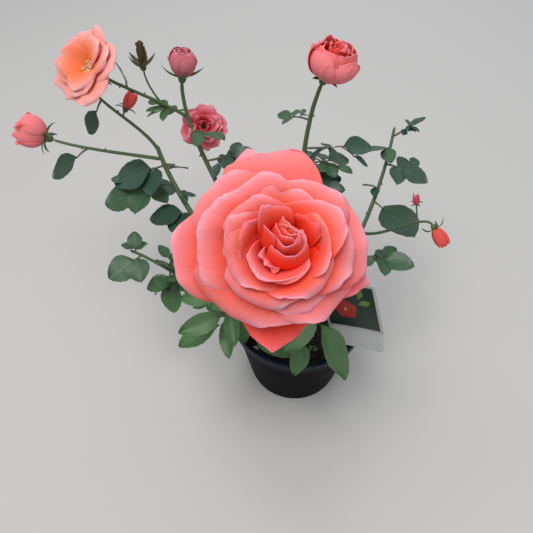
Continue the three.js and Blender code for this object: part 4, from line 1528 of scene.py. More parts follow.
# The tones paint light and shade: lit outer petals are paled, inner and shaded petals deepened.
LARGE_PETALS = [
    Petal(G, 97, 58, 10, 28, roll=1, curl=0.2, top=0.5, outline=(1.13, 1.09, 0.97, 1.0, 0.97), ruffle=0.6,
          tone=-0.5),
    Petal(G, 182, 61, 8, 27, roll=6, curl=0.8, outline=(0.93, 1, 1.02, 0.99, 0.88), ruffle=0.5, tone=-0.1),
    Petal(G, 266, 50, 3, 25, roll=8, point=10, curl=0.2, top=0.42, ruffle=0.9, tone=0.6),
    Petal(G, 341, 48, 7, 21, roll=7, point=7, curl=0.5, top=0.5, tone=0.2),
    Petal(G, 314, 44.5, 12, 30, roll=4, curl=1.4, top=0.15, outline=(1.08, 1.04, 1, 0.88, 0.72), tone=-0.45),
    Petal(G, 141, 53, 13, 26, roll=5, curl=1.3, top=0.25, outline=(0.87, 1.03, 1, 0.93, 0.9), tone=-0.3),
    Petal(G, 57, 44.5, 14, 24, roll=3, curl=0.9, top=0.25, outline=(0.82, 0.92, 1, 0.98, 0.93), tone=-0.15),
    Petal(G, 238, 45.5, 13, 36, roll=2, curl=1.8, rim=0.16, top=0.16, outline=(0.66, 0.85, 1, 1.17, 1.12),
          tone=-0.3),
    Petal(G, 14, 48, 12, 29, roll=4, curl=1.5, top=0.2, outline=(1.0, 1.05, 0.99, 0.97, 0.93), tone=-0.35),
    Petal(O, 113, 42.5, 21, 21, roll=3, curl=1.2, top=0.2, outline=(0.91, 1.01, 1, 0.98, 0.88), tone=-0.15),
    Petal(O, 80, 36, 22, 17, roll=3, curl=0.8, top=0.25, twist=-2, outline=(1.03, 1.03, 0.98, 0.95, 0.9)),
    Petal(O, 147, 45, 20, 18, roll=2, curl=1.0, top=0.25, outline=(0.96, 1.02, 1, 0.93, 0.86)),
    Petal(O, 180, 46, 19, 27, roll=3, curl=1.5, top=0.2, rim=0.13, outline=(0.88, 0.96, 1, 0.97, 0.95),
          tone=-0.15),
    Petal(O, 303, 35, 18, 25, roll=3, curl=1.3, top=0.25, tone=-0.3),
    Petal(O, 2, 40, 21, 26, roll=4, curl=1.5, top=0.2, rim=0.12, outline=(0.95, 1, 1, 0.94, 0.84)),
    Petal(O, 246, 32, 24, 25, roll=1, curl=1.8, rim=0.17, top=0.15, outline=(0.72, 0.89, 1, 1.02, 0.93)),
    Petal(O, 323, 30, 25, 25, roll=2, curl=1.7, rim=0.17, top=0.15, outline=(0.9, 0.96, 1, 0.87, 0.72)),
    Petal(O, 44, 37.5, 25, 23, roll=0, curl=0.4, top=0.3, twist=4, outline=(0.52, 0.8, 1, 0.98, 0.9)),
    Petal(M, 129, 33, 29, 18, roll=2, curl=1.6, rim=0.2, top=0.2, outline=(0.97, 1.03, 1, 0.92, 0.77),
          tone=-0.4),
    Petal(M, 152, 31.5, 31, 18, roll=2, curl=1.2, top=0.2, outline=(0.96, 1, 1, 0.84, 0.67), tone=-0.25),
    Petal(M, 206, 28, 30, 22, roll=1, curl=1.7, rim=0.16, top=0.15, outline=(0.6, 0.84, 0.98, 1.06, 1.1),
          tone=-0.2),
    Petal(I, 10, 28, 31, 19, roll=2, curl=0.8, rim=0.16, top=0.2, outline=(0.95, 1.02, 1, 0.92, 0.83),
          tone=-0.15),
    Petal(I, 44, 23, 28, 10, roll=1, curl=0.8, top=0.2, outline=(0.8, 0.9, 1, 1.06, 1.05), tone=0.65),
    Petal(M, 292, 20, 23, 17, curl=0.6, tone=0.5),
    Petal(M, 99, 25.5, 32, 10, roll=1, point=2, curl=0.6, rim=0.2, top=0.3, twist=-4,
          outline=(0.9, 1, 1.03, 0.98, 0.8), tone=0.15),
    Petal(I, 264, 18, 31, 24, roll=1, curl=0.5, rim=0.16, top=0.12, outline=(0.86, 0.97, 1, 1.02, 1),
          tone=-0.35),
    Petal(I, 157, 22.8, 32, 18.5, roll=1, curl=1.3, rim=0.1, top=0.2, outline=(0.84, 0.9, 1, 0.92, 0.77),
          tone=0.4),
    Petal(I, 222, 10.5, 27.5, 8, curl=0.5, roll=1, nick=2, ruffle=1, top=0.2,
          outline=(0.9, 0.96, 1, 1.06, 1.1), tone=-0.3),
    Petal(F, 228, 7, 33, 9, roll=0, curl=0.6, rim=0.12, top=0.15, shift=(-1.3, 17.7), tone=0.35, ruffle=0.6),
    Petal(F, 275, 8, 32, 12, roll=0, curl=0.7, rim=0.12, top=0.1, shift=(4, 7.3),
          outline=(1.06, 1.02, 0.95, 0.97, 1.0), tone=0.3, ruffle=0.5),
    Petal(F, 262, 6, 32.5, 9, roll=0, curl=0.6, rim=0.12, top=0.1, shift=(3.8, 10.5),
          outline=(1.1, 1.05, 0.97, 1, 1), tone=0.2, ruffle=0.9),
    Petal(F, 248, 4.5, 33, 8, roll=0, curl=0.5, rim=0.12, top=0.15, shift=(4, 13.2), tone=0.2, ruffle=0.9),
    Petal(F, 262, 5, 32, 8, roll=0, curl=0.5, rim=0.12, top=0.15, shift=(6.2, 15.5), tone=0.2, ruffle=0.7),
    Petal(F, 240, 5, 32, 8, roll=0, curl=0.5, rim=0.12, top=0.15, shift=(7, 19.5), tone=0.1, ruffle=0.7),
    Petal(I, 60, 15, 31, 10, roll=1, curl=0.5, top=0.15, shift=(1, -1), ruffle=0.7, nick=0.3, tone=0.2),
    Petal(I, 20, 14, 31, 7, roll=1, curl=0.6, top=0.3, shift=(0, 1), ruffle=0.6, nick=0.3, tone=-0.3),
]


def small_blooms() -> list[Bloom]:
    """List the small blooms and buds, each with its rings dealt out by a seeded rule.

    Returns:
        The blooms and buds.
    """
    three, five, eight, eleven, thirteen = (Seeded(k) for k in (3, 5, 8, 11, 13))
    # The tones paint light and shade: outer petals are paled, inner petals deepened as in the bloom's hollow.
    return [
        Bloom(
            "half_open_bloom", (20.8, 128, 320.3), (0.31, 0, 0.951), CORAL, "coral_bloom",
            4.6, 9, 1.9, 22, -0.2, 10,
            ring_petals(U, 5, 16, 27, 25, three, roll=3, curl=1.0, top=0.3, tone=-0.9)
            + ring_petals(
                U, 4, 13.5, 31, 21, Seeded(40), 36, roll=2, curl=0.8, top=0.3, ruffle=1.6, tone=-0.6
            )
            + ring_petals(U, 3, 9.5, 32, 17, Seeded(41), 15, roll=1, curl=0.5, top=0.3, ruffle=1.4, tone=-0.2)
            + ring_petals(C, 3, 8, 31, 10, Seeded(42), 50, roll=1, curl=0.4, tone=0.2)
            + ring_petals(C, 3, 4, 30, 7, Seeded(43), 20, roll=1, curl=0.4, tone=0.5),
        ),
        Bloom(
            "open_bloom", (-195.1, 131.6, 323.8), (-0.44, -0.45, 0.775), APRICOT, "orange_bloom",
            4.6, 9, 1.6, 20, 0.5, 30,
            ring_petals(O, 5, 38, 12, 23, five, roll=4, ruffle=2, curl=1.2, top=0.25, tone=-0.6)
            + ring_petals(O, 3, 27, 19, 18, five, 36, roll=3, ruffle=2, curl=0.8, tone=-0.2)
            + ring_petals(O, 4, 31, 16, 17, Seeded(50), 5, roll=3, ruffle=2, curl=0.9, tone=-0.4)
            + ring_petals(O, 5, 22, 14, 13, Seeded(51), 10, roll=2, ruffle=1.8, curl=0.6),
            stamens=70,
        ),
        Bloom(
            "faded_bloom", (-103, 160, 238), (0.1, -0.77, 0.63), ROSE_PINK, "pink_bloom",
            4, 7, 1.4, 16, 0.4, 0,
            ring_petals(O, 5, 25, 9, 16, eight, roll=3, ruffle=2.4, curl=1.2)
            + ring_petals(M, 2, 16, 15, 12, eight, 30, ruffle=2)
            + ring_petals(M, 5, 20, 13, 13, Seeded(61), 12, ruffle=2.6, curl=1.0)
            + ring_petals(I, 4, 12, 15, 9, Seeded(62), 40, ruffle=2, curl=0.6, tone=0.3)
            + ring_petals(C, 3, 5, 13, 6, Seeded(63), 10, ruffle=2, curl=0.3, tone=0.6),
            host="back_left_cane", share=0.66,
        ),
        Bloom(
            "left_bud", (-260.2, 120.1, 255.9), (-0.93, 0.12, 0.347), CORAL, "coral_bloom",
            4.4, 8, 1.4, 19, 0.3, 25,
            ring_petals(U, 4, 11.4, 25, 20, eleven, roll=3, curl=1.2, top=0.45, ruffle=1.6, tone=-0.9)
            + ring_petals(U, 4, 9, 27, 18, Seeded(71), 30, roll=1, curl=0.6, top=0.35, ruffle=1.4, tone=-0.4)
            + ring_petals(C, 4, 8, 24, 9, Seeded(72), 20, roll=1, curl=0.4, tone=0.2)
            + ring_petals(C, 3, 4, 25, 6, Seeded(73), 20, roll=1, curl=0.4, tone=0.6),
        ),
        Bloom(
            "pink_bud", (-119.4, 164.2, 297.5), (0.15, 0.15, 0.977), PALE_PINK, "pink_bloom",
            4.4, 8, 1.8, 24, -0.6, 0,
            ring_petals(B, 4, 6.6, 25, 19, thirteen, roll=-1.5, curl=-0.4, top=0.35, ruffle=0.6)
            + ring_petals(B, 5, 5.2, 26.5, 18, Seeded(81), 25, roll=-1.5, curl=-0.5, top=0.3, ruffle=0.6)
            + ring_petals(B, 4, 3.2, 26.5, 14, Seeded(82), 60, roll=0, curl=-0.4, tone=0.2, ruffle=0.6)
            + ring_petals(C, 3, 3, 25, 6, Seeded(83), 0, roll=1, curl=0.3, tone=0.5),
        ),
        Bloom(
            "red_bud", (-176, 137, 279), (0.5, 0.35, 0.792), SCARLET, "coral_bloom",
            3, 5, 1, 11, 0.1, 0,
            ring_petals(B, 4, 2.7, 17.5, 9, Seeded(91), roll=0.4, curl=-0.3, top=0.35, ruffle=0.5)
            + ring_petals(B, 3, 1.4, 18.5, 7, Seeded(92), 40, roll=0, curl=-0.3, tone=0.4, ruffle=0.4),
            host="lower_bloom_branch", share=0.6,
        ),
        Bloom(
            "green_bud", (-156, 160, 312), (0, 0.17, 0.985), BUD_SHEATH, "green_bud",
            3.4, 6, 1, 15, -0.9, 15,
            ring_petals(B, 5, 1.4, 22, 8, Seeded(93), roll=0.5, curl=0, point=5, top=0.7, ruffle=0.4),
            host="open_bloom_branch", share=0.36, sepal_finish=BUD_SKIN, sepal_width=0.42,
        ),
        Bloom(
            "right_bud", (131.6, 31, 215.7), (0.476, -0.75, -0.459), SCARLET, "pink_bloom",
            3, 5.5, 1.2, 13, 0.5, 20,
            ring_petals(B, 4, 3.1, 19.5, 11, Seeded(94), roll=0.4, curl=-0.3, top=0.35, ruffle=0.6)
            + ring_petals(B, 3, 1.8, 20.5, 9, Seeded(95), 40, roll=0, curl=-0.3, tone=0.4, ruffle=0.5),
        ),
        Bloom(
            "small_right_bud", (114, 52, 230), (-0.2, 0.1, 0.975), ROSE_PINK, "pink_bloom",
            1.8, 3.5, 0.8, 6, 0, 0,
            ring_petals(B, 4, 1.3, 9, 4.4, Seeded(96), roll=0.3, curl=0.2, tone=0.2)
            + ring_petals(B, 3, 0.7, 9, 3, Seeded(97), 40, roll=0.3, curl=0.1, tone=0.6),
            host="right_bud_branch", share=0.72,
        ),
    ]


def large_bloom() -> Bloom:
    """Give the large open bloom at the front cane's tip.

    Returns:
        The bloom.
    """
    return Bloom(
        "large_bloom", (-27, -129.2, 379.2), (0, -0.6, 0.8), CORAL, "coral_bloom",
        6.2, 12, 2.6, 30, 0.45, 20, LARGE_PETALS, seat=4.0, cells=(30, 30), thickness=0.5,
    )


# Limbs


@dataclass(frozen=True)
class Limb:
    """One tapering limb: foot or host, handles, tip or bloom, and its radii at foot and tip."""

    name: str
    lean: Triple
    radii: Pair
    foot: Triple | None = None
    host: str = ""
    share: float = 0.0
    bow: Triple | None = None
    tip: Triple | None = None
    bloom: str = ""
    approach: float = 0.0
    thorns: int = 5

    def curve(self, limbs: dict[str, Curve], blooms: dict[str, Bloom]) -> Curve:
        """Work out the limb's middle line.

        Args:
            limbs: the curves of the limbs before it.
            blooms: the blooms by name.

        Returns:
            The curve.
        """
        foot = limbs[self.host].at(self.share) if self.host else Vector(self.foot)
        if self.bloom:
            bloom = blooms[self.bloom]
            face = Vector(bloom.faces).normalized()
            tip = Vector(bloom.place) - face * (bloom.hip_length + CLEARANCE)
            bow = tip - face * self.approach
        else:
            bow, tip = Vector(self.bow), Vector(self.tip)
        return Curve((foot, Vector(self.lean), bow, tip))


LIMBS = [
    Limb("front_cane", (-3, -12, 215), (4.4, 2.6), foot=(-2, -5, 121), bloom="large_bloom", approach=75,
         thorns=7),
    Limb("back_cane", (2, 108, 150), (4, 1.9), foot=(2, 6, 122), bloom="half_open_bloom", approach=58,
         thorns=8),
    Limb("left_cane", (-75, 22, 132), (4, 2.3), foot=(-7, 1, 121), bow=(-140, 106, 200),
         tip=(-150, 127, 240), thorns=8),
    Limb("back_left_cane", (-64, 82, 152), (3.9, 1.8), foot=(-5, 6, 124), bloom="pink_bud", approach=50,
         thorns=8),
    Limb("right_cane", (60, 36, 132), (3.6, 1.5), foot=(8, 1, 119), bow=(98, 120, 190),
         tip=(109, 168, 232), thorns=6),
    Limb("low_left_shoot", (-72, -18, 132), (3, 1.4), foot=(-5, -6, 120), bow=(-140, 32, 158),
         tip=(-177, 34, 178)),
    Limb("lower_bloom_branch", (-160, 133, 256), (2, 1.3), host="left_cane", share=0.96,
         bow=(-187, 128, 280), tip=(-198, 130, 298), thorns=2),
    Limb("left_bud_branch", (-175, 114, 239), (2, 1.4), host="left_cane", share=0.9, bloom="left_bud",
         approach=28, thorns=3),
    Limb("open_bloom_branch", (-132, 152, 272), (1.9, 1.5), host="back_left_cane", share=0.8,
         bloom="open_bloom", approach=30, thorns=3),
    Limb("right_bud_branch", (88, 52, 172), (1.8, 1.1), host="right_cane", share=0.47, bloom="right_bud",
         approach=14, thorns=2),
]


@dataclass
class Wood:
    """The stock, the canes and branches with their bark relief, and their thorns."""

    limbs: dict[str, Curve]
    sides: int = 14
    branch_steps: int = 26
    cane_steps: int = 60
    relief: float = 0.12
    stock_rings: int = 40
    thorn_run: Pair = (0.12, 0.86)
    thorn_sink: float = 0.3

    def build(self) -> None:
        """Model the stock, each limb and all the thorns."""
        self.add_stock()
        for limb in LIMBS:
            sheets = Sheets()
            thick, thin = limb.radii
            steps = self.branch_steps if limb.host else self.cane_steps
            line = self.limbs[limb.name]
            if limb.bloom:
                run = line.along(1.0) * (CLEARANCE + 1.4)
                line = Curve((*line.points[:-1], line.points[-1] + run))
            add_tube(sheets, line, thick, thin, self.sides, steps, self.relief)
            piece = sheets.build(f"{limb.name}_bark")
            close_seams(piece)
            finish_piece(piece, GREEN_BARK, "cane", limb.name)
        self.add_thorns()

    def add_stock(self) -> None:
        """Model the gnarled stock with its root flare and knuckle."""
        foot = SOIL_LEVEL - STOCK_SUNK
        height = STOCK_TOP - foot
        marks = (0.0, 0.22, 0.36, 0.52, 0.64, 0.78, 0.9, 0.97, 1.0)
        shares = np.linspace(0, 1, self.stock_rings)
        radii = np.interp(shares, marks, (10.4, 13.0, 10.6, 8.0, 8.8, 10.5, 9.0, 6.6, 3.0))
        profile = [(r, foot + height * s) for r, s in zip(radii.tolist(), shares.tolist())]
        piece = turned_piece("stock_bark", profile, sides=40)
        for vertex in piece.data.vertices:
            x, y, z = (c / MM for c in vertex.co)
            turn = math.atan2(y, x)
            spot = Vector((math.cos(turn) * 2.4, math.sin(turn) * 2.4, z * 0.13))
            bulge = 1 + 0.1 * math.sin(3 * turn + z * 0.1)
            bulge += 0.12 * noise.noise(spot) + 0.05 * noise.noise(spot * 3.1)
            vertex.co.x *= bulge
            vertex.co.y *= bulge
        piece.data.shade_smooth()
        finish_piece(piece, BROWN_BARK, "wood", "stem_base")

    def add_thorns(self) -> None:
        """Model one hooked thorn and set copies of it along the limbs."""
        u, v, faces = flat_grid(8, 5)
        turn = u * math.pi
        chance = Seeded(19)
        sheets = Sheets()
        for limb in LIMBS:
            curve = self.limbs[limb.name]
            for k in range(limb.thorns):
                share = mix(*self.thorn_run, (k + 0.5 + chance.spread(0.3)) / limb.thorns)
                place, side, up = curve.frame(share)
                angle = GOLDEN_ANGLE * k + chance.spread(0.5)
                out = side * math.cos(angle) + up * math.sin(angle)
                along = curve.along(share)
                wide = out.cross(along)
                size = 0.8 * mix(*limb.radii, share) + 1.6
                radius = mix(*limb.radii, share**TAPER) * 0.86
                rise = size * v
                body = (1 - v) ** 1.4
                a = np.outer(rise + radius - self.thorn_sink, np.array(out[:]))
                b = np.outer(np.cos(turn) * body * size * 0.55 - 0.4 * size * v**2, np.array(along[:]))
                c = np.outer(np.sin(turn) * body * size * 0.2, np.array(wide[:]))
                sheets.add(np.array(place[:]) + a + b + c, faces, surface_uv(u, v))
        piece = sheets.build("cane_thorns")
        close_seams(piece)
        finish_piece(piece, THORN_SKIN, "cane")


# Leaves

# A spray: where its shoot forks, how far apart its leaves start, and how they spread.
FORK_SHARE = 0.45
LEAF_STEP = 0.3
LEAF_RUN = 0.45
LEAF_SPREAD = 0.75
LEAF_FLATTENING = 0.6

# A compound leaf: its stalk's lean and arch, its pairs' angle and sizes, its longest leaflet beside
# its reach, how far back a pair may stand, and how leaflets stray from the rule.
SKY_LEAN = 0.35
STALK_ARCH = 0.14
PAIR_ANGLE = 68.0
FIRST_PAIR = 0.86
SMALLER_PAIR = 0.12
LENGTH_SHARE = 0.75
LAST_PAIR = 1.9
SKY_SPREAD = 0.16
ROLL_SPREAD = 0.5
SIZE_SPREAD = 0.08

# A leaflet: its mesh, its bare foot, its edge, its droop, and where its room is tested.
BLADE_CELLS = (6, 12)
BLADE_FOOT = 0.05
BLADE_WIDTH = 0.56
BLADE_DROOP = 0.16
TOOTH_OUT = 1.03
TOOTH_IN = 0.985
PROBE = 0.3
PROBES = ((0.35, 0.3), (0.35, -0.3), (0.65, 0.0), (1.0, 0.0))

# The room that leaflets keep from each other and finer twigs from limbs, soil, pot and label, and
# the number of steps in which a limb is tested.
LEAFLET_ROOM = 0.3
LIMB_ROOM = 7.0
LIMB_MARKS = 80
SOIL_ROOM = 14.0
POT_ROOM_RADIUS = 84.0
LABEL_ROOM = 3.0

# Finer twigs: the first seed of their rows, their number, where they start on a stem, and their
# leaf and their reach beside the spray's leaf.
TWIG_SEED = 400
TWIGS_PER_LEAF = 4
MORE_TWIGS = 2
TWIG_STARTS = (0.3, 0.92)
TWIG_SIZES = (0.55, 0.95)
TWIG_REACH = (0.8, 3.0)


@dataclass(frozen=True)
class Mass:
    """One spray of leaves: the limb it leaves, the tip it grows to and its leaves."""

    name: str
    host: str
    share: float
    tip: Triple
    leaves: int
    leaflets: int
    length: float
    breadth: float = 0.64
    tone: Tone = Tone.MID


MASSES = [
    Mass("left_bud_leaves", "left_bud_branch", 0.66, (-258, 100, 219), 1, 3, 32, 0.8, Tone.DARK),
    Mass("hanging_leaf", "lower_bloom_branch", 0.93, (-215, 119, 262), 1, 1, 25, tone=Tone.TEAL),
    Mass("pale_leaf", "open_bloom_branch", 0.7, (-177, 153, 319), 1, 1, 22, tone=Tone.PALE),
    Mass("upper_left_leaves", "left_cane", 0.86, (-196, 106, 205), 1, 5, 40, 0.8, Tone.TEAL),
    Mass("mid_left_leaves", "left_cane", 0.84, (-120, 132, 206), 1, 3, 27, 0.7, Tone.DARK),
    Mass("olive_leaf", "open_bloom_branch", 0.2, (-160, 147, 272), 1, 3, 18, tone=Tone.FRESH),
    Mass("upper_stem_leaves", "back_left_cane", 0.84, (-146, 166, 252), 1, 3, 20, tone=Tone.MID),
    Mass("faded_bloom_leaves", "back_left_cane", 0.6, (-46, 124, 234), 3, 5, 26, tone=Tone.TEAL),
    Mass("inner_left_leaves", "left_cane", 0.6, (-162, 74, 190), 1, 3, 36, 0.85, Tone.DARK),
    Mass("outer_left_leaves", "left_cane", 0.76, (-212, 90, 188), 1, 3, 37, 0.8, Tone.MID),
    Mass("lower_left_leaves", "left_cane", 0.5, (-142, 76, 182), 2, 5, 28, 0.75, Tone.DARK),
    Mass("low_left_upper_leaf", "low_left_shoot", 0.95, (-172, 48, 192), 1, 3, 33, 0.8, Tone.MID),
    Mass("low_left_lower_leaf", "low_left_shoot", 0.9, (-198, 8, 163), 1, 3, 32, 0.8, Tone.MID),
    Mass("low_left_hanging_leaf", "low_left_shoot", 0.7, (-134, -14, 130), 1, 5, 32, tone=Tone.FRESH),
    Mass("front_left_leaves", "front_cane", 0.26, (-121, -56, 134), 1, 5, 46, 0.42, Tone.FRESH),
    Mass("front_right_leaf", "front_cane", 0.3, (44, -95, 146), 1, 3, 56, 0.5, Tone.FRESH),
    Mass("right_low_leaves", "right_cane", 0.36, (120, 24, 168), 2, 5, 34, tone=Tone.MID),
    Mass("right_round_leaf", "right_cane", 0.62, (124, 56, 176), 1, 1, 46, 0.95, Tone.DARK),
    Mass("right_mid_leaves", "right_cane", 0.68, (73, 112, 198), 1, 5, 27, 0.7, Tone.TEAL),
    Mass("right_upper_leaves", "right_cane", 0.8, (142, 112, 206), 1, 5, 29, 0.7, Tone.TEAL),
    Mass("right_top_leaves", "right_cane", 0.94, (140, 170, 242), 2, 5, 24, tone=Tone.TEAL),
    Mass("back_right_leaves", "back_cane", 0.66, (76, 128, 238), 2, 5, 28, tone=Tone.TEAL),
    Mass("back_mid_leaves", "back_cane", 0.48, (46, 116, 208), 1, 5, 30, tone=Tone.DARK),
    Mass("back_small_leaves", "back_cane", 0.8, (-24, 146, 264), 1, 3, 17, tone=Tone.MID),
    Mass("front_cane_left_leaves", "front_cane", 0.5, (-95, -42, 222), 2, 5, 32, tone=Tone.MID),
    Mass("front_cane_right_leaves", "front_cane", 0.42, (52, -36, 228), 2, 5, 32, tone=Tone.MID),
    Mass("front_cane_upper_leaf", "front_cane", 0.72, (-76, -108, 286), 1, 5, 28, tone=Tone.FRESH),
    Mass("centre_back_leaves", "back_cane", 0.26, (38, 76, 200), 2, 5, 30, tone=Tone.DARK),
    Mass("centre_left_leaves", "back_left_cane", 0.28, (-34, 62, 206), 2, 5, 28, tone=Tone.DARK),
    Mass("low_back_leaves", "back_cane", 0.36, (4, 178, 168), 2, 5, 30, tone=Tone.DARK),
    Mass("low_back_left_leaves", "left_cane", 0.4, (-86, 118, 150), 2, 5, 30, tone=Tone.DARK),
    Mass("faded_bloom_front_leaves", "back_left_cane", 0.74, (-76, 118, 254), 1, 3, 26, 0.6, Tone.MID),
    Mass("right_cane_inner_leaves", "right_cane", 0.88, (74, 135, 226), 1, 5, 27, 0.7, Tone.MID),
    Mass("back_right_low_leaves", "back_cane", 0.57, (58, 137, 216), 1, 5, 27, 0.7, Tone.MID),
    Mass("left_inner_leaves", "left_cane", 0.7, (-111, 95, 196), 1, 5, 28, 0.7, Tone.TEAL),
    Mass("low_left_inner_leaves", "low_left_shoot", 0.62, (-145, 19, 184), 1, 3, 27, 0.75, Tone.MID),
]


@dataclass(frozen=True)
class Blade:
    """One leaflet's place: its root, its three directions and its length."""

    root: Vector
    along: Vector
    side: Vector
    rise: Vector
    length: float

    def spot(self, share: float, across: float) -> Vector:
        """Return a place on the leaflet, a share of its length along and of its length across."""
        drop = BLADE_DROOP * self.length * share**2
        return self.root + (self.along * share + self.side * across) * self.length - self.rise * drop


class SolidRoom:
    """The room of a spray's solid: a stalk or a leaflet is kept where the solid has it."""

    gap = 0.9

    def __init__(self, name: str) -> None:
        """Read the solid's surface.

        Args:
            name: the solid's name.
        """
        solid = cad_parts[name].data
        corners = [v.co.copy() for v in solid.vertices]
        self.tree = BVHTree.FromPolygons(corners, [tuple(p.vertices) for p in solid.polygons])

    def near(self, place: Vector) -> bool:
        """Tell whether a place lies on the solid."""
        hit = self.tree.find_nearest(place * MM, 4 * self.gap * MM)
        return hit[0] is not None and hit[3] < self.gap * MM

    def holds(self, stalk: Vector, blades: list[Blade], places: list[Vector]) -> list[bool]:
        """Tell which leaflets the solid has.

        Args:
            stalk: a place on the stalk.
            blades: the leaflets.
            places: a place on the sheet of each.

        Returns:
            For each leaflet, whether it is kept.
        """
        kept = self.near(stalk)
        return [kept and self.near(place) for place in places]


@dataclass
class OpenRoom:
    """The reach of a spray's solid, clear of limbs, blooms, pot, label and other leaves."""

    low: Vector
    high: Vector
    limbs: KDTree
    blooms: list[Bloom]
    label: tuple[Vector, Vector]
    others: list[tuple[Vector, float]]

    def free(self, place: Vector) -> bool:
        """Tell whether a place is in the reach and touches nothing else.

        Args:
            place: the place.

        Returns:
            Whether it is free.
        """
        if any(not self.low[k] <= place[k] <= self.high[k] for k in range(3)):
            return False
        if self.limbs.find(place)[2] < LIMB_ROOM:
            return False
        if place.z < SOIL_LEVEL + SOIL_ROOM and math.hypot(place.x, place.y) < POT_ROOM_RADIUS:
            return False
        low, high = self.label
        if all(low[k] - LABEL_ROOM <= place[k] <= high[k] + LABEL_ROOM for k in range(3)):
            return False
        return not any(bloom.holds(place) for bloom in self.blooms)

    def holds(self, stalk: Vector, blades: list[Blade], places: list[Vector]) -> list[bool]:
        """Tell which leaflets have room.

        Args:
            stalk: a place on the stalk.
            blades: the leaflets, the one at the stalk's end first.
            places: a place on the sheet of each.

        Returns:
            For each leaflet, whether it is kept; none is without the first.
        """
        kept = []
        for blade, place in zip(blades, places):
            spots = [blade.spot(*probe) for probe in PROBES]
            gaps = [(place - centre).length / (size + blade.length) for centre, size in self.others]
            apart = all(gap > LEAFLET_ROOM for gap in gaps)
            kept.append(apart and self.free(stalk) and all(self.free(spot) for spot in spots))
        return kept if kept[0] else [False] * len(kept)


